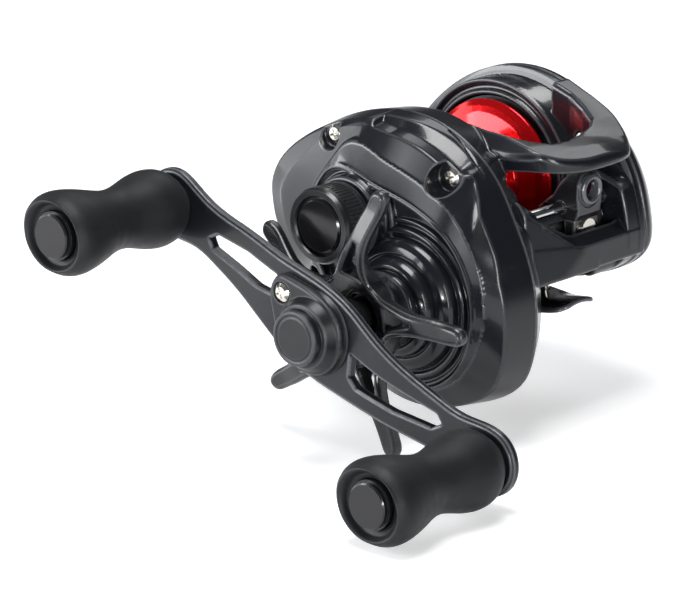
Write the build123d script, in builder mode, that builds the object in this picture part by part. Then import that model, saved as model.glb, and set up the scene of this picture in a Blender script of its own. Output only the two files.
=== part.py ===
from build123d import *
import os
from math import cos, sin, pi, radians, hypot, atan2, tan, acos

# Low-profile baitcasting reel, right-hand retrieve.
# Millimetres. +X towards the handle, +Y towards the rod tip (front), +Z up.
# Origin: centre of the reel foot's underside, where it sits on the rod's reel seat.
# Nearly every axis of rotation runs along X; an "axis" here is the (y, z) it passes through.

os.makedirs("parts", exist_ok=True)

# ------------------------------------------------------------------ driving dimensions
foot_length = 60.0
foot_width = 12.0
foot_thickness = 2.2
foot_screws_at = [(x, y) for y in (-19.5, 19.5) for x in (-3.2, 3.2)]

drive_axis = drive_y, drive_z = 11.75, 5.26    # handle and main gear
spool_axis = spool_y, spool_z = -2.0, 20.66    # spool and pinion
worm_axis = worm_y, worm_z = 23.6, 17.0        # level-wind worm
guide_rod_axis = (25.6, 21.3)

wall_in = 12.6                        # inner face of the gear-side frame wall
wall_out = 14.6                       # its gearbox side
seam_x = 20.5                         # joint line of the handle-side cover
cover_x = 31.9                        # outer face of the handle-side cover
cover_floor = 29.6                    # inside of that face
palm_in = -12.4                       # inner face of the palm-side frame wall
palm_out = -14.6
palm_seam = -18.0                     # joint line of the palm-side cover
palm_x = -28.5                        # outer face of the palm-side cover
palm_floor = -26.3
cover_gap = 0.04                      # between the frame and either cover

main_teeth, pinion_teeth = 63, 10     # 6.3 : 1
level_teeth, worm_teeth = 42, 24      # level wind, 1.75 : 1
level_gear_x, level_gear_t = 15.05, 1.4

drive_shaft_r = 3.0
spool_shaft_r = 1.25
worm_bore_r = 2.55                    # frame bore for the worm and its bushes
thumb_y = -21.9                       # middle of the thumb bar's tongues and slots

handle_span = 90.0                    # knob centre to knob centre
handle_angle = -23.14                 # front arm, degrees from +Y towards +Z
handle_face = 57.9                    # outer face at the hub
handle_face_tip = 55.4                # outer face at the knob bosses
handle_t = 2.4

# screw and post places, (y, z)
cover_screws = [(19.6, 31.9), (-11.1, 35.2), (-12.5, 5.5)]
palm_screws = [(-22.0, 13.5), (20.5, 31.6), (24.5, 9.2)]
yoke_dir = (0.746, 0.667)             # along the clutch yoke, (y, z)
yoke_reach = 9.2                      # from the spool axis to each yoke post
yoke_posts = [(spool_y + side * yoke_reach * yoke_dir[0], spool_z + side * yoke_reach * yoke_dir[1])
              for side in (1, -1)]
kick_pivot = kick_y, kick_z = -4.5, 7.0

# side outline of the gear side, (y, z)
gear_outline = [
    (36.9, 5.5), (36.4, -2.5), (34.0, -9.0), (27.5, -13.9), (18.5, -16.8), (9.5, -17.2),
    (1.5, -14.9), (-5.0, -9.6), (-10.5, -2.8), (-17.0, 4.2), (-23.8, 9.6), (-28.4, 15.3),
    (-29.8, 21.5), (-27.2, 27.6), (-21.0, 33.2), (-12.5, 37.9), (-3.5, 40.6), (5.0, 41.2),
    (13.5, 39.4), (21.0, 35.6), (26.5, 30.6), (30.0, 25.0), (33.2, 19.0), (35.8, 12.5),
]
# side outline of the palm side, (y, z)
palm_outline = [
    (33.4, 10.5), (33.4, 17.0), (31.6, 23.5), (28.0, 30.0), (22.0, 35.9), (14.0, 40.6),
    (5.0, 43.2), (-4.0, 42.8), (-13.0, 39.2), (-20.5, 33.6), (-26.0, 27.0), (-28.6, 20.0),
    (-28.0, 13.0), (-24.0, 7.0), (-16.5, 2.8), (-6.0, 0.8), (6.0, 0.6), (17.0, 2.0), (27.0, 5.0),
]


# ------------------------------------------------------------------ helpers
def save(name, builder):
    builder.part.label = name
    export_step(builder.part, f"parts/{name}.step")


def inset(points, distance):
    """Points of a closed outline moved inwards by a distance."""
    count = len(points)
    pairs = [(points[i], points[(i + 1) % count]) for i in range(count)]
    area = sum(first[0] * second[1] - second[0] * first[1] for first, second in pairs)
    turn = 1.0 if area > 0 else -1.0
    moved = []
    for i, (y, z) in enumerate(points):
        before, after = points[i - 1], points[(i + 1) % count]
        along_y, along_z = after[0] - before[0], after[1] - before[1]
        step = turn * distance / hypot(along_y, along_z)
        moved.append((y - along_z * step, z + along_y * step))
    return moved


def outline(points, x):
    """Face bounded by a smooth closed curve in the plane X = x."""
    with BuildSketch(Plane.YZ.offset(x)) as sketch:
        with BuildLine():
            Spline(*points, periodic=True)
        make_face()
    return sketch.sketch


def polygon_face(points, x):
    with BuildSketch(Plane.YZ.offset(x)) as sketch:
        with BuildLine():
            Polyline(*points, close=True)
        make_face()
    return sketch.sketch


def cyl_x(x0, x1, axis, radius, mode=Mode.ADD):
    """Cylinder along X between x0 and x1."""
    with Locations(Location((min(x0, x1), *axis), (0, 90, 0))):
        Cylinder(radius, abs(x1 - x0), align=(Align.CENTER, Align.CENTER, Align.MIN), mode=mode)


def bore_x(x0, x1, axis, radius):
    cyl_x(x0, x1, axis, radius, mode=Mode.SUBTRACT)


def cyl_y(x, y0, y1, z, radius, mode=Mode.ADD):
    """Cylinder along Y between y0 and y1."""
    with Locations(Location((x, min(y0, y1), z), (-90, 0, 0))):
        Cylinder(radius, abs(y1 - y0), align=(Align.CENTER, Align.CENTER, Align.MIN), mode=mode)


def bore_y(x, y0, y1, z, radius):
    cyl_y(x, y0, y1, z, radius, mode=Mode.SUBTRACT)


def lathe(profile, axis, mode=Mode.ADD):
    """Turned shape about an X axis: the profile is (x, radius)."""
    origin = (0, *axis)
    with BuildSketch(Plane(origin=origin, x_dir=(1, 0, 0), z_dir=(0, -1, 0))) as sketch:
        with BuildLine():
            Polyline(*profile, close=True)
        make_face()
    revolve(sketch.sketch, axis=Axis(origin, (1, 0, 0)), mode=mode)


def ring_profile(x0, x1, outer, inner):
    return [(x0, inner), (x1, inner), (x1, outer), (x0, outer)]


def bearing_profile(x0, x1, bore, groove_in, groove_out, outer):
    """Ball bearing with a shallow groove in each face between its two rings."""
    depth, slope = 0.2, 0.1
    half = [(0, bore), (0, groove_in), (depth, groove_in + slope),
            (depth, groove_out - slope), (0, groove_out), (0, outer)]
    return [(x0 + d, r) for d, r in half] + [(x1 - d, r) for d, r in reversed(half)]


def around(axis, radius, count, start=0.0):
    """Places evenly spaced on a circle round an axis."""
    angles = [start + 2 * pi * k / count for k in range(count)]
    return [(axis[0] + radius * cos(angle), axis[1] + radius * sin(angle)) for angle in angles]


def drive_point(angle, along, across=0.0):
    """(y, z) of a point along and across a ray from the drive axis, at an angle in degrees."""
    c, s = cos(radians(angle)), sin(radians(angle))
    return (drive_y + along * c - across * s, drive_z + along * s + across * c)


def gear_face(teeth, module, phase, axis, x):
    """Involute spur gear in the plane X = x, a tooth centred on the angle phase (radians)."""
    addendum, dedendum, backlash = 0.75, 1.05, 0.10
    pressure_angle = radians(25.0)
    pitch_r = module * teeth / 2.0
    base_r = pitch_r * cos(pressure_angle)
    tip_r = pitch_r + addendum * module
    root_r = pitch_r - dedendum * module

    def involute(angle):
        return tan(angle) - angle

    def half_angle(r):
        """Half the angle a tooth spans at radius r."""
        at_base = pi / (2 * teeth) - backlash / (2 * pitch_r) + involute(pressure_angle)
        return at_base if r <= base_r else at_base - involute(acos(base_r / r))

    flank_r = max(base_r, root_r)
    radii = [root_r, flank_r + (tip_r - flank_r) * 0.33, flank_r + (tip_r - flank_r) * 0.67, tip_r]
    flanks = [(r, -half_angle(r)) for r in radii] + [(r, half_angle(r)) for r in reversed(radii)]
    points = []
    for k in range(teeth):
        centre = phase + 2 * pi * k / teeth
        for r, offset in flanks:
            points.append((axis[0] + r * cos(centre + offset), axis[1] + r * sin(centre + offset)))
    return polygon_face(points, x)


def mate_phase(direction, teeth):
    """Phase of a gear meshing with one that points a tooth at it in this direction."""
    return direction + pi - pi / teeth


def gear_pair(axis, teeth, mate_axis, mate_teeth):
    """Module of a pair of gears and the direction from the first to the second."""
    offset_y, offset_z = mate_axis[0] - axis[0], mate_axis[1] - axis[1]
    return 2 * hypot(offset_y, offset_z) / (teeth + mate_teeth), atan2(offset_z, offset_y)


def cross_recess(x_head, axis, radius, depth):
    """Cross recess in a screw head whose outer face is at x_head, facing +X."""
    width = 0.42 * radius
    with Locations(Location((x_head, *axis), (0, 90, 0)) * Location((0, 0, 0), (0, 0, 20))):
        Box(2 * radius, width, 2 * depth, mode=Mode.SUBTRACT)
        Box(width, 2 * radius, 2 * depth, mode=Mode.SUBTRACT)


arm_dir = (0, cos(radians(handle_angle)), sin(radians(handle_angle)))


def arm_plane(x, axis=drive_axis):
    """Plane across an axis at X = x, its own x along the front handle arm."""
    return Plane(origin=(x, *axis), x_dir=arm_dir, z_dir=(1, 0, 0))


main_module, main_direction = gear_pair(drive_axis, main_teeth, spool_axis, pinion_teeth)
level_module, level_direction = gear_pair(drive_axis, level_teeth, worm_axis, worm_teeth)

# ================================================================== frame
palm_width = palm_in - palm_seam
mouth_ring_r = 20.0                   # ring round the spool mouth
mouth_r = 16.7

# (y, z): what the arch loses, below the hood line
below_hood = [(-40, -10), (45, -10), (45, 31.5), (31, 31.5), (20, 27.5), (-40, 27.5)]
# (y, z): what the mouth ring loses, above the hood line
above_hood = [(-40, 27.5), (20, 27.5), (31, 31.5), (45, 31.5), (45, 60), (-40, 60)]
# hood from above, (x, y)
hood_plan = [
    (-18.0, 21.0), (-17.2, 27.0), (-14.5, 31.5), (-9.5, 35.2), (0, 36.1), (8.5, 35.3),
    (13.0, 31.5), (15.8, 26.0), (16.8, 19.0), (17.0, 13.0), (12.6, 13.0), (12.6, 21.0),
    (10.0, 25.8), (5.0, 28.4), (-4.0, 28.6), (-9.5, 26.4), (-12.4, 21.0),
]
# hood from the side, (y, z)
hood_side = [
    (12, 34.5), (20, 31.8), (28, 31.6), (36.2, 31.9), (37.0, 33.2), (33.0, 35.2),
    (26.0, 37.8), (19.0, 39.4), (12.0, 40.4),
]
# shelf and cross members from the side, (y, z)
shelf_side = [
    (-25.0, 4.0), (-16.0, 2.3), (16.0, 2.3), (25.0, 3.4), (31.5, 6.6), (33.5, 9.8),
    (33.5, 14.9), (31.0, 17.3), (30.35, 16.7), (31.4, 14.0), (31.0, 10.6), (29.4, 8.2),
    (22.5, 6.4), (17.0, 6.4), (12.5, 4.1), (-13.5, 4.1), (-17.5, 6.6), (-21.5, 8.8),
    (-25.1, 13.0), (-25.1, 28.2), (-27.0, 26.2), (-28.6, 21.0), (-28.2, 15.5), (-25.8, 10.0),
]

with BuildPart() as frame:
    # gear-side wall: a plate with a rim, which the side cover closes into a gearbox
    extrude(outline(gear_outline, wall_in), amount=seam_x - wall_in)
    extrude(outline(inset(gear_outline, 1.9), wall_out), amount=seam_x - wall_out,
            mode=Mode.SUBTRACT)
    # palm-side arch of the hood
    with BuildPart(mode=Mode.PRIVATE) as arch:
        extrude(outline(palm_outline, palm_seam), amount=palm_width)
        with BuildSketch(Plane.YZ.offset(palm_seam)):
            with BuildLine():
                Polyline(*below_hood, close=True)
            make_face()
        extrude(amount=palm_width, mode=Mode.SUBTRACT)
        bore_x(palm_seam, palm_in, spool_axis, mouth_ring_r)
    add(arch.part)
    # nose and gear-side rail of the hood, dipping towards the front
    with BuildPart(mode=Mode.PRIVATE) as nose:
        with BuildSketch(Plane.XY.offset(26)):
            with BuildLine():
                Polyline(*hood_plan, close=True)
            make_face()
        extrude(amount=20)
        with BuildSketch(Plane.YZ.offset(-20)):
            with BuildLine():
                Polyline(*hood_side, close=True)
            make_face()
        extrude(amount=40, mode=Mode.INTERSECT)
    add(nose.part)
    # palm-side wall: a ring round the spool mouth
    with BuildPart(mode=Mode.PRIVATE) as mouth_ring:
        extrude(outline(inset(palm_outline, 0.02), palm_seam), amount=palm_width)
        extrude(outline(inset(palm_outline, 2.0), palm_seam), amount=palm_out - palm_seam,
                mode=Mode.SUBTRACT)
        with BuildSketch(Plane.YZ.offset(palm_seam)):
            with BuildLine():
                Polyline(*above_hood, close=True)
            make_face()
            with Locations(spool_axis):
                Circle(mouth_ring_r, mode=Mode.SUBTRACT)
        extrude(amount=palm_width, mode=Mode.SUBTRACT)
        cyl_x(palm_out - 2.0, palm_in, spool_axis, mouth_ring_r)
    add(mouth_ring.part)
    bore_x(palm_seam, palm_in, spool_axis, mouth_r)
    # shelf that carries the foot, with cross members in front of and behind the spool
    with BuildSketch(Plane.YZ.offset(palm_in)):
        with BuildLine():
            Polyline(*shelf_side, close=True)
        make_face()
    extrude(amount=wall_in - palm_in)
    # tube round the worm, open at the front for the pawl
    cyl_x(palm_in, wall_in, worm_axis, 3.15)
    cyl_x(palm_out - 2.1, palm_in, worm_axis, 4.2)
    bore_x(palm_in - 0.6, wall_out, worm_axis, worm_bore_r)
    with Locations((0, worm_y + 3.0, worm_z)):
        Box(20.6, 6.0, 2.9, mode=Mode.SUBTRACT)
    # guide rod sockets
    cyl_x(palm_out - 1.0, palm_in, guide_rod_axis, 2.4)
    bore_x(palm_in - 1.6, wall_in + 1.4, guide_rod_axis, 1.23)
    # worm bush seat, drive shaft bush seat, pinion opening
    bore_x(palm_in - 0.7, palm_in - 2.6, worm_axis, worm_bore_r)
    bore_x(palm_in, palm_in - 2.6, worm_axis, 1.5)
    bore_x(wall_in, wall_out, drive_axis, 4.5)
    bore_x(wall_in, wall_out, spool_axis, 3.4)
    # thumb bar slots in both walls
    for x in (wall_in + 1.0, palm_in - 1.0):
        with Locations((x, thumb_y, 24.3)):
            Box(4.4, 6.0, 12.8, mode=Mode.SUBTRACT)
    # screw posts for the side covers
    for axis in cover_screws:
        cyl_x(wall_out, seam_x, axis, 2.8)
        bore_x(wall_in + 0.6, seam_x, axis, 1.15)
    for axis in palm_screws:
        cyl_x(palm_seam, palm_out, axis, 2.6)
        bore_x(palm_seam, palm_in, axis, 1.2)
        bore_x(palm_in - 1.5, palm_in, axis, 2.15)
    # seats for the yoke posts and the kick lever pin
    for axis in yoke_posts + [kick_pivot]:
        bore_x(wall_in + 0.5, wall_out, axis, 0.82)
    # foot screw holes
    for x, y in foot_screws_at:
        with Locations((x, y, 4.5)):
            Cylinder(0.85, 4.8, mode=Mode.SUBTRACT)
save("frame", frame)

# ================================================================== foot
# foot from the side, (y, z): flat middle, thin ends that curve up
foot_side = [
    (-30, 1.0), (-29, 0.25), (-26, 0.0), (26, 0.0), (29, 0.25), (30, 1.0), (29.6, 1.6),
    (25, 1.9), (19, foot_thickness), (-19, foot_thickness), (-25, 1.9), (-29.6, 1.6),
]

with BuildPart() as reel_foot:
    with BuildSketch(Plane.YZ.offset(-foot_width / 2)):
        with BuildLine():
            Polyline(*foot_side, close=True)
        make_face()
    extrude(amount=foot_width)
    with BuildSketch(Plane.XY.offset(-1)):
        RectangleRounded(foot_width, foot_length, 3.2)
    extrude(amount=6, mode=Mode.INTERSECT)
    # bevels along both long edges of the underside
    for side in (-1, 1):
        with BuildSketch(Plane.XZ.offset(35)):
            with BuildLine():
                Polyline((side * 3.4, -0.5), (side * 6.6, -0.5), (side * 6.6, 1.1), close=True)
            make_face()
        extrude(amount=-70, mode=Mode.SUBTRACT)
    for x, y in foot_screws_at:
        with Locations((x, y, 0)):
            Cylinder(1.05, 6, mode=Mode.SUBTRACT)
            Cone(1.05, 1.75, 0.9, rotation=(180, 0, 0),
                 align=(Align.CENTER, Align.CENTER, Align.MAX), mode=Mode.SUBTRACT)
save("reel_foot", reel_foot)

with BuildPart() as foot_screws:
    for x, y in foot_screws_at:
        with Locations((x, y, 0.06)):
            Cylinder(0.82, 6.2, align=(Align.CENTER, Align.CENTER, Align.MIN))
            Cone(1.65, 0.9, 0.8, align=(Align.CENTER, Align.CENTER, Align.MIN))
            Box(0.45, 2.4, 0.8, mode=Mode.SUBTRACT)
            Box(2.4, 0.45, 0.8, mode=Mode.SUBTRACT)
save("foot_screws", foot_screws)

# ================================================================== handle-side cover
cover_start = seam_x + cover_gap
cover_dome = [                        # (x, radius)
    (29.0, 0), (29.0, 14.8), (cover_x, 14.8), (33.0, 13.4), (33.4, 13.0), (33.6, 11.6),
    (35.2, 10.9), (35.4, 9.8), (36.9, 9.3), (37.2, 8.2), (37.9, 7.6), (37.9, 0),
]
cast_boss = [                         # (x, radius)
    (29.0, 0), (29.0, 10.5), (cover_x, 9.6), (34.3, 8.8), (34.3, 6.3), (40.6, 6.3), (40.6, 0),
]

with BuildPart() as handle_side_cover:
    extrude(outline(gear_outline, cover_start), amount=cover_x - cover_start)
    fillet(handle_side_cover.faces().sort_by(Axis.X)[-1].edges(), 5.0)
    # hollow: room for the gears
    with BuildPart(mode=Mode.PRIVATE) as gear_room:
        extrude(outline(inset(gear_outline, 2.3), seam_x - 1), amount=26.2 - seam_x + 1)
        extrude(outline(inset(gear_outline, 4.6), 26.0), amount=cover_floor - 26.0)
    add(gear_room.part, mode=Mode.SUBTRACT)
    # stepped dome over the anti-reverse bearing, and a ring groove round it
    lathe(cover_dome, drive_axis)
    lathe(ring_profile(cover_x - 0.8, cover_x + 1, 17.7, 16.6), drive_axis, mode=Mode.SUBTRACT)
    # boss of the cast-control knob
    lathe(cast_boss, spool_axis)
    # inner collars: anti-reverse bearing, pinion bearing
    cyl_x(26.2, cover_floor + 0.5, drive_axis, 9.4)
    cyl_x(25.4, cover_floor + 0.5, spool_axis, 5.6)
    # screw posts
    for axis in cover_screws:
        cyl_x(cover_start, 27.4, axis, 2.8)
        bore_x(seam_x - 1, 40, axis, 1.3)
        bore_x(26.0, 40, axis, 2.3)
    # bores on the drive axis
    bore_x(26.0, 32.8, drive_axis, 7.62)
    bore_x(32.0, 36.2, drive_axis, 6.62)
    bore_x(36.0, 38.5, drive_axis, 5.2)
    # bores on the spool axis
    bore_x(25.0, 29.9, spool_axis, 4.02)
    bore_x(29.5, 33.2, spool_axis, 2.6)
    bore_x(33.0, 36.4, spool_axis, 3.02)
    bore_x(36.0, 41.0, spool_axis, 4.4)
save("handle_side_cover", handle_side_cover)

with BuildPart() as handle_cover_screws:
    for axis in cover_screws:
        cyl_x(15.0, 26.5, axis, 1.1)
        lathe([(26.04, 0), (26.04, 2.0), (26.9, 2.0), (27.5, 1.3), (27.6, 0)], axis)
        cross_recess(27.6, axis, 1.15, 0.55)
save("handle_cover_screws", handle_cover_screws)

# ================================================================== palm-side cover
palm_start = palm_seam - cover_gap

with BuildPart() as palm_side_cover:
    extrude(outline(palm_outline, palm_start), amount=palm_x - palm_start)
    fillet(palm_side_cover.faces().sort_by(Axis.X)[0].edges(), 4.0)
    with BuildPart(mode=Mode.PRIVATE) as palm_room:
        extrude(outline(inset(palm_outline, 2.0), palm_seam + 1), amount=-23.0 - palm_seam - 1)
        extrude(outline(inset(palm_outline, 5.4), -22.8), amount=palm_floor + 22.8)
    add(palm_room.part, mode=Mode.SUBTRACT)
    for axis in palm_screws:
        cyl_x(palm_start, -25.0, axis, 2.5)
        bore_x(palm_seam + 1, -24.2, axis, 1.05)
    # collar round the brake
    lathe(ring_profile(palm_start, palm_floor - 0.3, 17.6, 16.6), spool_axis)
    # seat of the brake dial and the hole for its stem
    lathe(ring_profile(palm_x - 1, palm_x + 0.5, 8.3, 0), spool_axis, mode=Mode.SUBTRACT)
    bore_x(palm_x - 1, palm_floor + 1, spool_axis, 3.05)
save("palm_side_cover", palm_side_cover)

with BuildPart() as palm_cover_screws:
    for axis in palm_screws:
        cyl_x(-23.8, -13.5, axis, 1.0)
        lathe([(-13.86, 0), (-13.86, 1.95), (-13.1, 1.95), (-12.7, 1.3), (-12.6, 0)], axis)
        cross_recess(-12.6, axis, 1.1, 0.5)
save("palm_cover_screws", palm_cover_screws)

# ================================================================== magnetic brake
magnet_r = 1.65
magnet_count = 6
magnet_axes = around(spool_axis, 10, magnet_count, start=pi / magnet_count)

with BuildPart() as brake_plate:
    lathe(ring_profile(-14.3, -12.9, 16.4, 1.6), spool_axis)
    lathe(ring_profile(-18.6, -14.3, 5.0, 1.6), spool_axis)
    bore_x(-17.4, -12.0, spool_axis, 3.02)
    for axis in magnet_axes:
        bore_x(-15.0, -12.0, axis, magnet_r + 0.3)
    # bayonet lugs
    for axis in around(spool_axis, 14.6, 3):
        cyl_x(-16.2, -14.3, axis, 1.1)
save("brake_plate", brake_plate)

with BuildPart() as magnet_holder:
    lathe(ring_profile(-16.2, -15.2, 12.6, 5.4), spool_axis)
    lathe(ring_profile(-19.0, -16.2, 7.0, 5.4), spool_axis)
    for axis in magnet_axes:
        bore_x(-15.7, -15.0, axis, magnet_r + 0.03)
save("magnet_holder", magnet_holder)

with BuildPart() as brake_magnets:
    for axis in magnet_axes:
        cyl_x(-15.68, -13.3, axis, magnet_r)
save("brake_magnets", brake_magnets)

with BuildPart() as brake_dial:
    lathe([(-31.2, 0), (-31.2, 6.6), (-30.6, 7.6), (-28.1, 8.0), (-28.1, 3.0), (-22.2, 3.0),
           (-22.2, 0)], spool_axis)
    for axis in around(spool_axis, 8.3, 20):
        bore_x(-31.5, -28.6, axis, 0.75)
    # finger bar across the face
    with Locations((-31.6, *spool_axis)):
        Box(1.6, 3.0, 11.0)
save("brake_dial", brake_dial)

# ================================================================== cast control
cast_knob_r = 7.8
cast_knob_front = 42.4                # the knob's outer end, along X
cast_knob_profile = [                 # (x, radius)
    (34.7, 7.3), (35.0, 7.7), (35.6, cast_knob_r), (41.6, cast_knob_r), (cast_knob_front, 7.4),
    (cast_knob_front, 6.3), (41.9, 6.0), (41.3, 5.9), (41.3, 0), (40.9, 0), (40.9, 6.36),
    (34.7, 6.36),
]

with BuildPart() as cast_control_knob:
    lathe(cast_knob_profile, spool_axis)
    # grip grooves
    for axis in around(spool_axis, cast_knob_r + 0.15, 60):
        bore_x(36.2, 40.6, axis, 0.32)
save("cast_control_knob", cast_control_knob)

with BuildPart() as cast_knob_insert:
    lathe([(41.32, 0), (41.32, 5.6), (42.0, 5.6), (42.3, 5.2), (42.3, 0)], spool_axis)
save("cast_knob_insert", cast_knob_insert)

with BuildPart() as spool_tension_shim:
    lathe(ring_profile(39.3, 40.85, 4.3, 0), spool_axis)
    cyl_x(36.75, 39.3, spool_axis, 1.4)
save("spool_tension_shim", spool_tension_shim)

# between the knob's skirt and the foot of the cover's spigot
with BuildPart() as cast_knob_oring:
    lathe([(34.32, 6.33), (34.62, 6.33), (34.62, 6.95), (34.32, 6.95)], spool_axis)
save("cast_knob_oring", cast_knob_oring)

# ================================================================== spool
spool_r = 16.1
spool_half = 11.5
# thin-walled turned spool: rims, flanges, arbor and a web to the hub, (x, radius)
spool_profile = [
    (-spool_half, spool_r), (-10.7, spool_r), (-10.5, 15.7), (-9.0, 14.2), (-7.9, 10.2),
    (-7.2, 9.5), (7.2, 9.5), (7.9, 10.2), (9.0, 14.2), (10.5, 15.7), (10.7, spool_r),
    (spool_half, spool_r), (spool_half, 15.3), (9.9, 13.6), (8.7, 9.4), (8.0, 8.6), (1.0, 8.6),
    (1.0, 4.2), (6.0, 3.4), (6.0, 1.6), (-6.0, 1.6), (-6.0, 3.4), (-1.0, 4.2), (-1.0, 8.6),
    (-8.0, 8.6), (-8.7, 9.4), (-9.9, 13.6), (-spool_half, 15.3),
]
arbor_mid_r = 9.05                    # middle of the arbor's wall
arbor_holes = 10

with BuildPart() as spool:
    lathe(spool_profile, spool_axis)
    # drilled arbor
    for k in range(arbor_holes):
        angle = 360.0 * k / arbor_holes
        for x in (-4.2, 4.2):
            turned = Location((x, *spool_axis)) * Location((0, 0, 0), (angle, 0, 0))
            with Locations(turned * Location((0, 0, arbor_mid_r))):
                Cylinder(1.2, 2.4, mode=Mode.SUBTRACT)
save("spool", spool)

cross_pin_at = (14.0, *spool_axis)
cross_pin_r = 0.4

with BuildPart() as spool_shaft:
    lathe([(-17.2, 0), (-17.2, 0.9), (-17.0, spool_shaft_r), (-7.5, spool_shaft_r),
           (-7.5, 1.55), (7.5, 1.55), (7.5, spool_shaft_r), (36.4, spool_shaft_r),
           (36.6, 0.9), (36.6, 0)], spool_axis)
    with Locations(cross_pin_at):
        Cylinder(cross_pin_r + 0.02, 4, mode=Mode.SUBTRACT)
save("spool_shaft", spool_shaft)

with BuildPart() as spool_cross_pin:
    with Locations(cross_pin_at):
        Cylinder(cross_pin_r, 4.6)
save("spool_cross_pin", spool_cross_pin)

with BuildPart() as spool_bearings:
    for x in (-17.3, 33.4):
        lathe(bearing_profile(x, x + 2.0, spool_shaft_r + 0.05, 1.8, 2.5, 3.0), spool_axis)
save("spool_bearings", spool_bearings)

# ================================================================== pinion and clutch
pinion_tooth_x0, pinion_tooth_x1 = 17.5, 24.2

with BuildPart() as pinion_gear:
    lathe([(13.0, 0), (13.0, 2.9), (15.0, 2.9), (15.2, 2.6), (16.1, 2.6), (16.1, 2.05),
           (pinion_tooth_x0, 2.05), (pinion_tooth_x0, 2.1), (29.9, 2.1), (29.9, 0)], spool_axis)
    extrude(gear_face(pinion_teeth, main_module, mate_phase(main_direction, pinion_teeth),
                      spool_axis, pinion_tooth_x0), amount=pinion_tooth_x1 - pinion_tooth_x0)
    bore_x(12.0, 31.0, spool_axis, 1.4)
    # slot that takes the spool's cross pin
    with Locations((12.8, *spool_axis)):
        Box(4.0, 1.1, 7.0, mode=Mode.SUBTRACT)
save("pinion_gear", pinion_gear)

with BuildPart() as pinion_bearing:
    lathe(bearing_profile(27.2, 29.7, 2.2, 2.7, 3.5, 4.0), spool_axis)
save("pinion_bearing", pinion_bearing)

# flat plate on two posts; its fork sits in the pinion's groove
with BuildPart() as clutch_yoke:
    with BuildSketch(Plane(origin=(16.2, *spool_axis), x_dir=(0, *yoke_dir), z_dir=(1, 0, 0))):
        with BuildLine():
            Polyline((-11.6, -2.2), (11.6, -2.2), (11.6, 2.4), (6.5, 5.6), (-6.5, 5.6),
                     (-11.6, 2.4), close=True)
        make_face()
        with Locations((yoke_reach, 0), (-yoke_reach, 0)):
            Circle(1.08, mode=Mode.SUBTRACT)
        Circle(2.12, mode=Mode.SUBTRACT)
        with Locations((0, -2.5)):
            Rectangle(4.24, 5.0, mode=Mode.SUBTRACT)
    extrude(amount=1.15)
    # clearance round the drive axis
    bore_x(16.0, 18.0, drive_axis, 18.75)
save("clutch_yoke", clutch_yoke)

post_foot = [(13.2, 0), (13.2, 0.8), (14.64, 0.8)]    # (x, radius), seated in the frame wall

with BuildPart() as gearbox_posts:
    for axis in yoke_posts:
        lathe(post_foot + [(14.64, 1.0), (24.0, 1.0), (24.0, 2.2), (24.7, 2.2), (24.7, 0)], axis)
    lathe(post_foot + [(14.64, 1.6), (16.64, 1.6), (16.64, 0.9), (17.9, 0.9), (17.9, 0)],
          kick_pivot)
save("gearbox_posts", gearbox_posts)

with BuildPart() as yoke_springs:
    for axis in yoke_posts:
        with BuildLine() as wire:
            Helix(pitch=1.3, height=5.9, radius=1.75, center=(17.75, *axis), direction=(1, 0, 0))
        with BuildSketch(Plane(origin=wire.line @ 0, z_dir=wire.line % 0)):
            Circle(0.26)
        sweep(path=wire.line, is_frenet=True)
save("yoke_springs", yoke_springs)

# ring round the pinion, with an arm reaching back under the thumb bar's tongue
with BuildPart() as clutch_cam:
    with BuildSketch(Plane.YZ.offset(14.8)):
        with Locations(spool_axis):
            Circle(7.2)
        with BuildLine():
            Polyline((spool_y, 23.6), (-18.6, 22.7), (-24.2, 22.7), (-24.2, 20.9),
                     (-18.6, 19.9), (spool_y, 15.6), close=True)
        make_face()
        with Locations(spool_axis):
            Circle(3.7, mode=Mode.SUBTRACT)
    extrude(amount=0.8)
save("clutch_cam", clutch_cam)

# (y, z) from the lever's pivot
kick_lever_outline = [
    (-1.6, 0.8), (-2.6, 4.6), (-0.8, 5.0), (0.8, 2.0), (8.6, 0.5), (9.0, -0.9), (7.6, -1.5),
    (0, -1.8),
]

with BuildPart() as kick_lever:
    with BuildSketch(Plane.YZ.offset(16.7)):
        with BuildLine():
            Polyline(*[(kick_y + y, kick_z + z) for y, z in kick_lever_outline], close=True)
        make_face()
        with Locations(kick_pivot):
            Circle(2.0)
            Circle(0.95, mode=Mode.SUBTRACT)
    extrude(amount=0.9)
save("kick_lever", kick_lever)

thumb_gap = 0.15                      # between the bar and each wall
tongue_z, tongue_size = 25.6, 4.8

with BuildPart() as thumb_bar:
    with BuildSketch(Plane.YZ.offset(palm_in + thumb_gap)):
        with BuildLine():
            Polyline((-18.7, 26.6), (-19.5, 23.2), (-24.4, 23.2), (-24.4, 28.6), (-22.9, 30.4),
                     (-20.2, 30.5), (-18.9, 29.0), close=True)
        make_face()
    extrude(amount=wall_in - palm_in - 2 * thumb_gap)
    fillet(thumb_bar.edges().filter_by(Axis.X).group_by(Axis.Z)[-1], 0.8)
    # tongues that slide in the wall slots; the gear-side one reaches over the clutch cam
    with Locations((0, thumb_y, tongue_z)):
        Box(2 * (wall_out - 0.3), tongue_size, tongue_size)
    with Locations((13.9, thumb_y, tongue_z)):
        Box(3.6, tongue_size, tongue_size)
save("thumb_bar", thumb_bar)

# ================================================================== drive train
shaft_shoulder_x = 57.95              # where the shaft steps down for the handle nut

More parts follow.
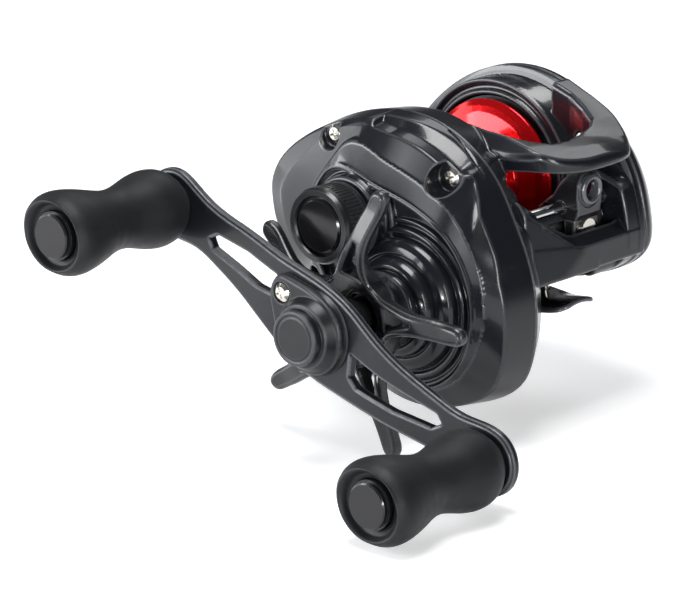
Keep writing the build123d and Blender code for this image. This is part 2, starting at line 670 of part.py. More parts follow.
with BuildPart() as drive_shaft:
    lathe([(12.7, 0), (12.7, 2.7), (13.0, drive_shaft_r), (16.7, drive_shaft_r), (16.7, 6.3),
           (17.7, 6.3), (17.7, drive_shaft_r), (shaft_shoulder_x, drive_shaft_r),
           (shaft_shoulder_x, 2.5), (61.4, 2.5), (61.7, 2.2), (61.7, 0)], drive_axis)
    # notches round the flange
    for axis in around(drive_axis, 6.9, 12):
        bore_x(16.0, 18.0, axis, 1.0)
    # two flats, matching the handle's hole
    with BuildSketch(arm_plane(24.0)):
        with Locations((0, 4.35), (0, -4.35)):
            Rectangle(10, 4)
    extrude(amount=shaft_shoulder_x - 24.0, mode=Mode.SUBTRACT)
save("drive_shaft", drive_shaft)

with BuildPart() as drive_shaft_bush:
    lathe([(12.62, 3.05), (14.9, 3.05), (14.9, 5.4), (14.64, 5.4), (14.64, 4.45),
           (12.62, 4.45)], drive_axis)
save("drive_shaft_bush", drive_shaft_bush)

with BuildPart() as level_wind_drive_gear:
    extrude(gear_face(level_teeth, level_module, level_direction, drive_axis, level_gear_x),
            amount=level_gear_t)
    bore_x(14.0, 18.0, drive_axis, drive_shaft_r + 0.03)
    for axis in around(drive_axis, 7.0, 6, start=0.26):
        bore_x(14.0, 18.0, axis, 1.7)
save("level_wind_drive_gear", level_wind_drive_gear)

# toothed disc with a cup on its outer face for the drag washers
with BuildPart() as main_gear:
    extrude(gear_face(main_teeth, main_module, main_direction, drive_axis, 18.2), amount=2.4)
    cyl_x(20.5, 23.0, drive_axis, 13.2)
    bore_x(19.6, 24.0, drive_axis, 12.0)
    bore_x(18.0, 24.0, drive_axis, drive_shaft_r + 0.08)
    for axis in around(drive_axis, 8.0, 6):
        bore_x(18.0, 20.0, axis, 1.6)
save("main_gear", main_gear)

with BuildPart() as drag_fibre_washers:
    lathe(ring_profile(19.63, 20.4, 11.8, 3.2), drive_axis)
    lathe(ring_profile(21.5, 22.2, 11.8, 3.2), drive_axis)
save("drag_fibre_washers", drag_fibre_washers)

with BuildPart() as drag_metal_washers:
    lathe(ring_profile(20.43, 21.47, 11.7, drive_shaft_r + 0.06), drive_axis)
    lathe(ring_profile(22.23, 23.3, 11.5, drive_shaft_r + 0.06), drive_axis)
    # two holes in the outer washer
    for axis in around(drive_axis, 8.4, 2):
        bore_x(22.0, 24.0, axis, 1.3)
save("drag_metal_washers", drag_metal_washers)

# two dished washers, inner edges together
with BuildPart() as drag_spring_washers:
    lathe([(23.34, 5.6), (23.54, 5.6), (23.94, 3.1), (23.74, 3.1)], drive_axis)
    lathe([(23.97, 3.1), (24.17, 3.1), (24.57, 5.6), (24.37, 5.6)], drive_axis)
save("drag_spring_washers", drag_spring_washers)

with BuildPart() as anti_reverse_sleeve:
    lathe(ring_profile(24.62, 38.4, 4.2, drive_shaft_r + 0.04), drive_axis)
save("anti_reverse_sleeve", anti_reverse_sleeve)

roller_count = 6

with BuildPart() as anti_reverse_housing:
    lathe(ring_profile(26.4, 32.6, 7.58, 4.35), drive_axis)
    # pockets for the rollers
    for axis in around(drive_axis, 5.08, roller_count):
        bore_x(27.2, 31.8, axis, 0.95)
save("anti_reverse_housing", anti_reverse_housing)

with BuildPart() as anti_reverse_rollers:
    for axis in around(drive_axis, 5.06, roller_count):
        cyl_x(27.3, 31.7, axis, 0.8)
save("anti_reverse_rollers", anti_reverse_rollers)

with BuildPart() as drive_shaft_bearing:
    lathe(bearing_profile(33.0, 36.0, 4.26, 4.9, 5.9, 6.58), drive_axis)
save("drive_shaft_bearing", drive_shaft_bearing)

# ================================================================== star drag
hex_across_flats = 8.6
star_tip_r = 26.7
star_angles = (75.3, 3.3, -68.7, -140.7, 147.3)    # degrees from +Y towards +Z
# one arm and the window at its root, (along, across) from the drive axis
star_arm = [
    (5.0, 7.2), (9.0, 5.6), (13.5, 2.6), (18.0, 1.9), (23.0, 2.0), (star_tip_r, 1.5),
    (star_tip_r + 0.2, -1.3), (23.0, -1.9), (18.0, -2.2), (13.5, -3.2), (9.0, -5.6),
    (5.0, -7.2),
]
star_window = [(9.6, 2.5), (13.6, -0.2), (9.6, -2.6)]
# low hub with the arms swept outwards, (x, radius)
star_profile = [
    (38.8, 0), (38.8, 8.2), (39.6, 8.9), (43.0, 11.0), (43.2, 13.0), (43.4, 27.5), (47.9, 27.5),
    (47.0, 24.0), (46.3, 18.0), (45.8, 10.5), (45.0, 8.0), (44.6, 6.5), (44.6, 0),
]

with BuildPart() as star_drag:
    with BuildSketch(Plane.YZ.offset(38.0)):
        with Locations(drive_axis):
            Circle(9.2)
        for angle in star_angles:
            with BuildLine():
                Polyline(*[drive_point(angle, *point) for point in star_arm], close=True)
            make_face()
        for angle in star_angles:
            with BuildLine():
                Polyline(*[drive_point(angle, *point) for point in star_window], close=True)
            make_face(mode=Mode.SUBTRACT)
    extrude(amount=12.0)
    with BuildPart(mode=Mode.PRIVATE) as sweepback:
        lathe(star_profile, drive_axis)
    add(sweepback.part, mode=Mode.INTERSECT)
    with BuildSketch(arm_plane(38.0)):
        RegularPolygon(hex_across_flats / 2, 6, major_radius=False)
    extrude(amount=10, mode=Mode.SUBTRACT)
save("star_drag", star_drag)

with BuildPart() as star_nut:
    with BuildSketch(arm_plane(38.9)):
        RegularPolygon(hex_across_flats / 2 - 0.05, 6, major_radius=False)
        Circle(drive_shaft_r + 0.04, mode=Mode.SUBTRACT)
    extrude(amount=5.3)
save("star_nut", star_nut)

with BuildPart() as handle_collar:
    lathe([(44.8, 3.05), (44.8, 4.1), (47.5, 4.1), (48.5, 5.0), (55.45, 5.0), (55.45, 3.05)],
          drive_axis)
save("handle_collar", handle_collar)

# ================================================================== handle
# All in the arm's own frame: (along the front arm, across it) from the drive axis.
knob_boss_at = [(handle_span / 2, 0), (-handle_span / 2, 0)]
retainer_screw_at = (-9.3, 3.7)
# one long edge of the handle; the other is the same turned half a turn
arm_edge = [
    (-45, 7.0), (-41, 6.5), (-36, 5.9), (-31, 6.2), (-26, 7.0), (-20, 7.8), (-15, 8.3),
    (-7, 9.3), (0, 9.8), (6, 9.1), (10.8, 7.8), (16, 6.5), (21, 5.6), (30, 4.9), (36, 5.0),
    (41, 6.4), (45, 7.0),
]
front_slot = [
    (9.6, 0.9), (10.9, -3.4), (13.2, -4.4), (22.2, -3.5), (31.2, -1.3), (32.8, 0.6),
    (31.3, 1.7), (23.5, 1.0), (17.5, 0.7),
]
rear_slot = [
    (-12.4, 0.6), (-12.9, 3.6), (-13.6, 4.3), (-22.2, 3.5), (-31.2, 1.3), (-32.8, -0.6),
    (-31.3, -1.7), (-23.5, -1.0), (-17.5, -0.7),
]
# the handle's bend, seen from its edge
strap_half, bend_mid, bend_start = 54, 26, 12
bend_mid_face = handle_face_tip + 1.25
level_ends = ((1, 0), (1, 0))         # spline tangents

with BuildPart() as handle_arm:
    # curved strap seen from its edge
    with BuildSketch(Plane(origin=(0, *drive_axis), x_dir=arm_dir,
                           z_dir=(0, arm_dir[2], -arm_dir[1]))):
        with BuildLine():
            for dx in (0.0, -handle_t):
                hub_x, mid_x, tip_x = handle_face + dx, bend_mid_face + dx, handle_face_tip + dx
                Spline((-strap_half, tip_x), (-43, tip_x), (-bend_mid, mid_x),
                       (-bend_start, hub_x), tangents=level_ends)
                Line((-bend_start, hub_x), (bend_start, hub_x))
                Spline((bend_start, hub_x), (bend_mid, mid_x), (43, tip_x),
                       (strap_half, tip_x), tangents=level_ends)
            for end in (strap_half, -strap_half):
                Line((end, handle_face_tip), (end, handle_face_tip - handle_t))
        make_face()
    extrude(amount=14, both=True)
    # outline seen from the handle side, with the knob and retainer screw holes
    with BuildSketch(arm_plane(50.0)):
        with BuildLine():
            Spline(*arm_edge)
            Line((45, 7.0), (45, -7.0))
            Spline(*[(-along, -across) for along, across in arm_edge])
            Line((-45, -7.0), (-45, 7.0))
        make_face()
        with Locations(*knob_boss_at):
            Circle(7.0)
        with Locations(*knob_boss_at):
            Circle(2.05, mode=Mode.SUBTRACT)
        with Locations(retainer_screw_at):
            Circle(0.85, mode=Mode.SUBTRACT)
    extrude(amount=12, mode=Mode.INTERSECT)
    # long lightening slots
    with BuildSketch(arm_plane(50.0)) as slots:
        with BuildLine():
            Polyline(*front_slot, close=True)
        make_face()
        with BuildLine():
            Polyline(*rear_slot, close=True)
        make_face()
        fillet(slots.vertices(), 0.5)
    extrude(amount=12, mode=Mode.SUBTRACT)
    # double-D hole
    with BuildSketch(arm_plane(50.0)):
        Circle(drive_shaft_r + 0.05)
        Rectangle(8, 4.8, mode=Mode.INTERSECT)
    extrude(amount=12, mode=Mode.SUBTRACT)
save("handle_arm", handle_arm)

with BuildPart() as handle_nut:
    with BuildSketch(arm_plane(58.0)):
        RegularPolygon(4.0, 6, major_radius=False)
        Circle(2.53, mode=Mode.SUBTRACT)
    extrude(amount=3.4)
save("handle_nut", handle_nut)

retainer_x = 57.95                    # inner face of the nut retainer
retainer_base = [                     # (along, across)
    (-12.2, 5.0), (-12.0, 1.6), (-9.0, -2.6), (-7.4, -5.0), (0, -7.9), (6, -5.2), (7.9, 0),
    (5.2, 5.9), (0, 7.9), (-5.0, 7.9), (-9.3, 7.2), (-11.5, 6.4),
]
retainer_cap = [                      # (x, radius)
    (retainer_x, 0), (retainer_x, 7.6), (61.2, 7.4), (61.9, 6.9), (62.1, 6.3), (63.2, 6.1),
    (63.5, 5.3), (64.4, 4.9), (64.5, 4.5), (64.5, 0),
]

with BuildPart() as nut_retainer:
    with BuildSketch(arm_plane(retainer_x)) as base:
        with BuildLine():
            Polyline(*retainer_base, close=True)
        make_face()
        fillet(base.vertices(), 0.9)
    extrude(amount=2.5)
    lathe(retainer_cap, drive_axis)
    bore_x(57.0, 62.3, drive_axis, 4.75)
    # screw hole, then the seat for its head
    for x, radius in ((57.0, 1.0), (59.4, 2.1)):
        with BuildSketch(arm_plane(x)):
            with Locations(retainer_screw_at):
                Circle(radius)
        extrude(amount=10, mode=Mode.SUBTRACT)
save("nut_retainer", nut_retainer)

retainer_screw_axis = drive_point(handle_angle, *retainer_screw_at)

with BuildPart() as retainer_screw:
    cyl_x(55.8, 59.6, retainer_screw_axis, 0.82)
    lathe([(59.43, 0), (59.43, 1.9), (60.0, 1.9), (60.5, 1.2), (60.6, 0)], retainer_screw_axis)
    cross_recess(60.6, retainer_screw_axis, 1.15, 0.5)
save("retainer_screw", retainer_screw)

# ================================================================== knobs
knob_axes = {
    "front": drive_point(handle_angle, handle_span / 2),
    "rear": drive_point(handle_angle, -handle_span / 2),
}
spindle_r = 2.0
bush_bore_r = spindle_r + 0.04
bush_r = 3.25
cap_end = 89.5                        # outer end of the knob caps
spindle_profile = [                   # (x, radius)
    (52.2, 0), (52.2, 3.4), (52.95, 3.4), (52.95, spindle_r), (84.5, spindle_r), (84.5, 3.0),
    (85.6, 3.0), (86.1, 2.2), (86.1, 0),
]
# x, half width along the arm, half width across it
knob_sections = [
    (56.3, 6.2, 6.0), (58.5, 7.6, 7.4), (62.0, 8.1, 7.9), (66.0, 7.5, 7.2), (70.5, 6.3, 6.1),
    (75.0, 6.5, 6.3), (80.0, 8.2, 7.6), (84.5, 9.2, 8.1), (87.2, 9.0, 7.8),
    (cap_end - 0.5, 7.9, 6.9),
]
cap_profile = [                       # (x, radius)
    (86.5, 0), (86.5, 4.9), (88.4, 4.9), (88.4, 4.5), (89.3, 4.5), (cap_end, 4.2), (cap_end, 0),
]

with BuildPart() as knob_spindles:
    for axis in knob_axes.values():
        lathe(spindle_profile, axis)
        cross_recess(86.1, axis, 1.5, 0.6)
save("knob_spindles", knob_spindles)

with BuildPart() as knob_bushes:
    for axis in knob_axes.values():
        lathe([(55.46, bush_bore_r), (55.46, 4.4), (56.1, 4.4), (56.1, bush_r), (59.5, bush_r),
               (59.5, bush_bore_r)], axis)
        lathe(ring_profile(81.4, 84.4, bush_r, bush_bore_r), axis)
save("knob_bushes", knob_bushes)

for place, axis in knob_axes.items():
    with BuildPart() as knob_grip:
        for x, half_along, half_across in knob_sections:
            with BuildSketch(arm_plane(x, axis)):
                Ellipse(half_along, half_across)
        loft()
        bore_x(55.0, 84.9, axis, bush_r + 0.07)
        bore_x(84.5, 92.0, axis, 5.0)
        # flared mouth round the cap
        lathe([(87.4, 4.9), (87.4, 6.2), (90.0, 6.9), (90.0, 4.9)], axis, mode=Mode.SUBTRACT)
    save(f"knob_grip_{place}", knob_grip)

    with BuildPart() as knob_cap:
        lathe(cap_profile, axis)
    save(f"knob_cap_{place}", knob_cap)

# ================================================================== level wind
with BuildPart() as worm_gear:
    extrude(gear_face(worm_teeth, level_module, mate_phase(level_direction, worm_teeth),
                      worm_axis, level_gear_x), amount=level_gear_t)
    bore_x(14.0, 18.0, worm_axis, 1.32)
save("worm_gear", worm_gear)

worm_r = 2.3
worm_journal_r = 1.3
groove_length = 18.0

with BuildPart() as worm_shaft:
    lathe([(-14.6, 0), (-14.6, worm_journal_r), (-12.2, worm_journal_r), (-12.2, worm_r),
           (12.2, worm_r), (12.2, worm_journal_r), (17.3, worm_journal_r), (17.3, 0)], worm_axis)
    # crossing grooves that carry the pawl to and fro
    with BuildPart(mode=Mode.PRIVATE) as grooves:
        for lefthand in (False, True):
            with BuildLine() as path:
                Helix(pitch=9.0, height=groove_length, radius=worm_r,
                      center=(-groove_length / 2, *worm_axis), direction=(1, 0, 0),
                      lefthand=lefthand)
            with BuildSketch(Plane(origin=path.line @ 0, x_dir=(1, 0, 0), z_dir=path.line % 0)):
                Rectangle(0.9, 1.2)
            sweep(path=path.line, is_frenet=True)
    add(grooves.part, mode=Mode.SUBTRACT)
save("worm_shaft", worm_shaft)

worm_bush_r = worm_bore_r - 0.05
worm_bush_bore_r = worm_journal_r + 0.05

with BuildPart() as worm_bushes:
    lathe(ring_profile(-14.9, -13.1, worm_bush_r, worm_bush_bore_r), worm_axis)
    lathe([(12.7, worm_bush_bore_r), (14.95, worm_bush_bore_r), (14.95, 3.4), (14.64, 3.4),
           (14.64, worm_bush_r), (12.7, worm_bush_r)], worm_axis)
save("worm_bushes", worm_bushes)

with BuildPart() as guide_rod:
    lathe([(-13.9, 0), (-13.9, 1.0), (-13.7, 1.2), (13.7, 1.2), (13.9, 1.0), (13.9, 0)],
          guide_rod_axis)
save("guide_rod", guide_rod)

guide_x, guide_half = -3.8, 3.9       # middle and half width of the line guide
ring_z = 25.2                         # height of the line ring's centre
guide_side = [                        # (y, z)
    (19.2, 14.6), (20.0, 13.2), (22.0, 12.4), (25.2, 12.4), (27.4, 13.8), (29.4, 14.6),
    (29.4, 19.0), (30.0, 20.2), (30.2, 22.0), (30.2, 28.2), (29.4, 29.2), (27.2, 29.2),
    (25.2, 26.4), (23.4, 23.6), (19.8, 20.6), (19.2, 18.6),
]

with BuildPart() as line_guide:
    with BuildSketch(Plane.YZ.offset(guide_x - guide_half)):
        with BuildLine():
            Polyline(*guide_side, close=True)
        make_face()
    extrude(amount=2 * guide_half)
    bore_x(guide_x - 5, guide_x + 5, worm_axis, 3.22)
    bore_x(guide_x - 5, guide_x + 5, guide_rod_axis, 1.26)
    bore_y(guide_x, 20.0, 31.0, ring_z, 2.72)
    # chute behind the ring
    bore_y(guide_x, 20.0, 28.6, ring_z + 0.6, 3.1)
    # pawl bore
    bore_y(guide_x, 26.0, 31.0, worm_z, 1.35)
save("line_guide", line_guide)

ring_section = [                      # (y, radius)
    (28.7, 1.95), (28.7, 2.68), (30.22, 2.68), (30.22, 3.2), (30.75, 3.1), (31.0, 2.6),
    (30.9, 2.1), (30.4, 1.95),
]

with BuildPart() as line_guide_ring:
    with BuildSketch(Plane(origin=(guide_x, 0, ring_z), x_dir=(0, 1, 0), z_dir=(1, 0, 0))):
        with BuildLine():
            Polyline(*ring_section, close=True)
        make_face()
    revolve(axis=Axis((guide_x, 0, ring_z), (0, 1, 0)))
save("line_guide_ring", line_guide_ring)

with BuildPart() as pawl:
    cyl_y(guide_x, 26.1, 29.3, worm_z, 1.3)
save("pawl", pawl)

with BuildPart() as pawl_cap:
    cyl_y(guide_x, 29.42, 30.05, worm_z, 2.1)
    with Locations((guide_x, 30.1, worm_z)):
        Box(3.0, 0.7, 0.5, mode=Mode.SUBTRACT)
    # notches round the rim
    for x, z in around((guide_x, worm_z), 2.2, 16):
        bore_y(x, 29.0, 31.0, z, 0.22)
save("pawl_cap", pawl_cap)
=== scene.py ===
# Low-profile baitcasting reel: detailed shells and finishes over its CAD pieces.
# It stands on its foot with +Z up. X is the spool axis, with the handle side at +X and
# the palm side at -X. The line guide and the nose of the hood are at the front, +Y.
# Shapes are worked out in millimetres and become metres when a mesh is made.
import math
import bpy
import numpy as np
from mathutils import Vector, Matrix
import openvdb as vdb


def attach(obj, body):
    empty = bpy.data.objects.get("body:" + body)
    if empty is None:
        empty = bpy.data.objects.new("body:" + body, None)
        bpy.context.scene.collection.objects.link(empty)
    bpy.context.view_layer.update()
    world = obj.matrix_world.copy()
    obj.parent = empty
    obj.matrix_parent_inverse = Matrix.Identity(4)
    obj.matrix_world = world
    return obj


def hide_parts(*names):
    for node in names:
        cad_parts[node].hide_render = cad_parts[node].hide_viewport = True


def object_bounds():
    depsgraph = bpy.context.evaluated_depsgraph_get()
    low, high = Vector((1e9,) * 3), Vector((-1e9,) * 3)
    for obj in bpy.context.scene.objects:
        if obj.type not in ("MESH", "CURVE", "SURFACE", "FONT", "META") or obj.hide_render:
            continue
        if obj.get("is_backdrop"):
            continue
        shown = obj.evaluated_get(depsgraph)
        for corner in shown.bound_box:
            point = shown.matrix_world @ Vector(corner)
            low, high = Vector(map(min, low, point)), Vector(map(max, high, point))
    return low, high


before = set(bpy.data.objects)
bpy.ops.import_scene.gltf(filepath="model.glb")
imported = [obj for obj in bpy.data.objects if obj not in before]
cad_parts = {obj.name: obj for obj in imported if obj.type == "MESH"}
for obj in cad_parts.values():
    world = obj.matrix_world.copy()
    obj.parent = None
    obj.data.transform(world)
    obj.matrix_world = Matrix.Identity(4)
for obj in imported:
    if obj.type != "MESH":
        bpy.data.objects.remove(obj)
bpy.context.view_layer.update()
MM = 0.001
f4 = np.float32

# ------------------------------------------------------------------ shared places (mm)
# axes parallel to X: (y, z)
DRIVE = (11.75, 5.26)
SPOOL = (-2.0, 20.66)
WORM = (23.6, 17.0)
ROD = (25.6, 21.3)
COVER_SCREWS = [(19.6, 31.9), (-11.1, 35.2), (-12.5, 5.5)]
PALM_SCREWS = [(-22.0, 13.5), (20.5, 31.6), (24.5, 9.2)]
# eye of the line guide
EYE_X, EYE_Z = -3.8, 25.2
# handle: angle of the front arm from +Y towards +Z, and knob distance from the drive axis
HANDLE_ANGLE = math.radians(-23.14)
HANDLE_COS, HANDLE_SIN = math.cos(HANDLE_ANGLE), math.sin(HANDLE_ANGLE)
KNOB_REACH = 45.0
RETAINER_SCREW = (-9.3, 3.7)    # (along the front arm, across it)
# side outlines of the reel: (y, z)
HANDLE_OUTLINE = [
    (36.9, 5.5), (36.4, -2.5), (34.0, -9.0), (27.5, -13.9), (18.5, -16.8), (9.5, -17.2),
    (1.5, -14.9), (-5.0, -9.6), (-10.5, -2.8), (-17.0, 4.2), (-23.8, 9.6), (-28.4, 15.3),
    (-29.8, 21.5), (-27.2, 27.6), (-21.0, 33.2), (-12.5, 37.9), (-3.5, 40.6), (5.0, 41.2),
    (13.5, 39.4), (21.0, 35.6), (26.5, 30.6), (30.0, 25.0), (33.2, 19.0), (35.8, 12.5)]
PALM_OUTLINE = [
    (33.4, 10.5), (33.4, 17.0), (31.6, 23.5), (28.0, 30.0), (22.0, 35.9), (14.0, 40.6),
    (5.0, 43.2), (-4.0, 42.8), (-13.0, 39.2), (-20.5, 33.6), (-26.0, 27.0), (-28.6, 20.0),
    (-28.0, 13.0), (-24.0, 7.0), (-16.5, 2.8), (-6.0, 0.8), (6.0, 0.6), (17.0, 2.0), (27.0, 5.0)]


# ------------------------------------------------------------------ distance-field tools
# A field is a signed distance in mm, negative inside the solid.
def spline(outline, steps=10):
    """Closed smooth curve through the outline (periodic cubic, chord length)."""
    points = np.array(outline, float)
    count = len(points)
    chord = np.linalg.norm(np.roll(points, -1, 0) - points, axis=1)
    matrix = np.zeros((count, count))
    rhs = np.zeros((count, 2))
    for i in range(count):
        j = (i + 1) % count
        back, ahead = chord[i - 1], chord[i]
        matrix[i, i - 1] += 1 / back
        matrix[i, i] += 2 / back + 2 / ahead
        matrix[i, j] += 1 / ahead
        rhs[i] = 3 * ((points[i] - points[i - 1]) / back ** 2
                      + (points[j] - points[i]) / ahead ** 2)
    slope = np.linalg.solve(matrix, rhs)
    curve = []
    for i in range(count):
        j = (i + 1) % count
        length = chord[i]
        for k in range(steps):
            t = k / steps
            curve.append((2 * t ** 3 - 3 * t ** 2 + 1) * points[i]
                         + (t ** 3 - 2 * t ** 2 + t) * length * slope[i]
                         + (-2 * t ** 3 + 3 * t ** 2) * points[j]
                         + (t ** 3 - t ** 2) * length * slope[j])
    return np.array(curve)


def outline_field(outline, first, second):
    """Signed distance from a closed polygon over the grid first x second."""
    points = np.array(outline, float)
    x = first[:, None].astype(float)
    y = second[None, :].astype(float)
    nearest = np.full((x.shape[0], y.shape[1]), 1e9)
    inside = np.zeros(nearest.shape, bool)
    for (x0, y0), (x1, y1) in zip(np.roll(points, 1, 0), points):
        dx, dy = x1 - x0, y1 - y0
        square = dx * dx + dy * dy
        if square < 1e-12:
            continue
        t = np.clip(((x - x0) * dx + (y - y0) * dy) / square, 0, 1)
        nearest = np.minimum(nearest, (x - x0 - t * dx) ** 2 + (y - y0 - t * dy) ** 2)
        if dy != 0:
            inside ^= ((y0 > y) != (y1 > y)) & (x < (y - y0) / dy * dx + x0)
    distance = np.sqrt(nearest)
    return np.where(inside, -distance, distance).astype(f4)


def smin(a, b, k):
    """Union with a blend of width k."""
    h = np.maximum(k - np.abs(a - b), 0) / k
    return np.minimum(a, b) - h * h * (k * 0.25)


def smax(a, b, k):
    """Intersection with a blend of width k."""
    h = np.maximum(k - np.abs(a - b), 0) / k
    return np.maximum(a, b) + h * h * (k * 0.25)


def cmax(a, b, chamfer, k):
    """Intersection with a flat chamfer whose edges are rounded by k."""
    return smax(smax(a, b, k), (a + b + chamfer) * f4(0.70711), k)


def cut(body, tool, k):
    return smax(body, -tool, k)


def sstep(x, start, end):
    """Smooth rise from 0 to 1 between start and end."""
    t = np.clip((x - start) / (end - start), 0, 1)
    return t * t * (3 - 2 * t)


def lookup(where, stations, values):
    return np.interp(where, stations, values).astype(f4)


def running_mean(values, reach):
    count = 2 * reach + 1
    return np.convolve(np.pad(values, reach, mode='edge'), np.ones(count) / count, 'valid')


class Grid:
    """Box of sample points; X, Y and Z are its axes shaped to broadcast together."""

    def __init__(self, low, high, step):
        self.low, self.step = np.array(low, float), step
        self.shape = [int(math.ceil((b - a) / step)) + 1 for a, b in zip(low, high)]
        self.x, self.y, self.z = [(start + step * np.arange(count)).astype(f4)
                                  for start, count in zip(low, self.shape)]
        self.X = self.x[:, None, None]
        self.Y = self.y[None, :, None]
        self.Z = self.z[None, None, :]

    def yz(self, outline):
        return outline_field(outline, self.y, self.z)[None, :, :]

    def xy(self, outline):
        return outline_field(outline, self.x, self.y)[:, :, None]

    def radius(self, axis):
        """Distance from the line parallel to X through (y, z) = axis."""
        return np.sqrt((self.Y - axis[0]) ** 2 + (self.Z - axis[1]) ** 2).astype(f4)

    def cyl(self, axis, radius, x0, x1, k=0.2):
        ends = np.maximum(x0 - self.X, self.X - x1)
        return smax(self.radius(axis) - radius, ends, k)


def capsule(grid, start, end, radius):
    """Field of a round-ended bar between two points."""
    start, end = np.array(start, float), np.array(end, float)
    run = end - start
    offset = [axis - s for axis, s in zip((grid.X, grid.Y, grid.Z), start)]
    t = (offset[0] * run[0] + offset[1] * run[1] + offset[2] * run[2]) / (run @ run)
    t = np.clip(t, 0, 1)
    return np.sqrt(sum((o - t * r) ** 2 for o, r in zip(offset, run))) - radius


def sample(field, grid, points):
    """Trilinear value of the field at each point."""
    place = (points - grid.low) / grid.step
    cell = np.clip(np.floor(place).astype(int), 0, np.array(field.shape) - 2)
    part = np.clip(place - cell, 0, 1)
    total = 0
    for corner in np.ndindex(2, 2, 2):
        along_x, along_y, along_z = np.where(corner, part, 1 - part).T
        total = total + along_x * along_y * along_z * field[tuple((cell + corner).T)]
    return total


def sculpt(name, grid, field, body, finish, node, place=None):
    """Mesh of the zero surface, with normals and painted edge highlight and wear taken from the
    field.
    """
    field = np.array(np.broadcast_to(field, grid.shape), dtype=f4)
    step = grid.step
    band = 4 * step
    np.clip(field, -band, band, out=field)
    for axis in range(3):       # close the surface at the sides of the box
        slices = np.moveaxis(field, axis, 0)
        slices[[0, -1]] = np.maximum(slices[[0, -1]], 0.5 * step)
    volume = vdb.FloatGrid(band)
    volume.copyFromArray(field)
    points, quads = volume.convertToQuads(0.0)
    points = np.array(points, float) * step + grid.low
    quads = np.array(quads, int)
    unit = np.eye(3)

    def value(at):
        return sample(field, grid, at)

    def gradient(at, reach):
        return np.stack([(value(at + unit[i] * reach) - value(at - unit[i] * reach))
                         / (2 * reach) for i in range(3)], 1)
    for _ in range(2):          # pull the vertices on to the surface
        slope = gradient(points, 0.5 * step)
        square = np.maximum((slope ** 2).sum(1), 0.05)
        move = np.clip(value(points) / square, -0.5 * step, 0.5 * step)
        points = points - slope * move[:, None]
    slope = gradient(points, 0.75 * step)
    normals = slope / np.maximum(np.linalg.norm(slope, axis=1), 1e-6)[:, None]
    # the field's Laplacian is high on outer edges
    reach = 1.25 * step
    edge = sum(value(points + unit[i] * reach) + value(points - unit[i] * reach)
               for i in range(3))
    edge = (edge - 6 * value(points)) / reach ** 2
    quads = outward(points, quads, normals[quads[:, 0]])[0]
    if place is not None:
        points, normals = place(points, normals)
    return mesh_object(name, points, quads, body, finish, node, normals, edge)


def outward(points, quads, normals):
    """The quads wound to agree with their normals, and whether they were turned."""
    facing = np.cross(points[quads[:, 2]] - points[quads[:, 0]],
                      points[quads[:, 3]] - points[quads[:, 1]])
    turned = (np.einsum('ij,ij->i', facing, normals) > 0).mean() < 0.5
    return (quads[:, ::-1] if turned else quads), turned


def mesh_object(name, points, quads, body, finish, node, normals=None, edge=None):
    """Smooth quad mesh that rides on a body and stands in for a CAD piece."""
    mesh = bpy.data.meshes.new(name)
    count = len(quads)
    mesh.vertices.add(len(points))
    mesh.vertices.foreach_set("co", (points * MM).astype(f4).ravel())
    mesh.loops.add(count * 4)
    mesh.loops.foreach_set("vertex_index", quads.ravel().astype(np.int32))
    mesh.polygons.add(count)
    mesh.polygons.foreach_set("loop_start", np.arange(0, count * 4, 4, dtype=np.int32))
    mesh.polygons.foreach_set("use_smooth", np.full(count, True))
    mesh.update(calc_edges=True)
    mesh.validate()
    if edge is not None:
        # a lighter edge colour is painted where this value is high: painted edge highlight,
        # partly wear
        highlight_and_wear = mesh.attributes.new("edge_highlight_and_wear", 'FLOAT', 'POINT')
        highlight_and_wear.data.foreach_set("value", np.clip(edge, -4, 4).astype(f4))
    if normals is not None:
        mesh.normals_split_custom_set_from_vertices(normals.tolist())
    ob = bpy.data.objects.new(name, mesh)
    bpy.context.scene.collection.objects.link(ob)
    mesh.materials.append(MATERIALS[finish])
    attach(ob, body)
    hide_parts(node)
    return ob


def ring_quads(rings, segments):
    """Quads of a closed tube of rings whose last ring joins the first."""
    i = np.arange(rings)[:, None]
    j = np.arange(segments)[None, :]
    i2, j2 = (i + 1) % rings, (j + 1) % segments
    corners = (i * segments + j, i * segments + j2, i2 * segments + j2, i2 * segments + j)
    return np.stack(corners, -1).reshape(-1, 4)


def soften(profile, radius):
    """Round each corner of a closed profile with a short three-point arc."""
    points = np.array(profile, float)
    out = []
    for before, corner, after in zip(np.roll(points, 1, 0), points, np.roll(points, -1, 0)):
        back, ahead = np.linalg.norm(before - corner), np.linalg.norm(after - corner)
        t = min(radius, 0.4 * back, 0.4 * ahead)
        start = corner + (before - corner) / back * t
        end = corner + (after - corner) / ahead * t
        out += [start, 0.25 * start + 0.5 * corner + 0.25 * end, end]
    return np.array(out)


CREASE = 50.0       # degrees; flatter corners of a turned profile are shaded smooth


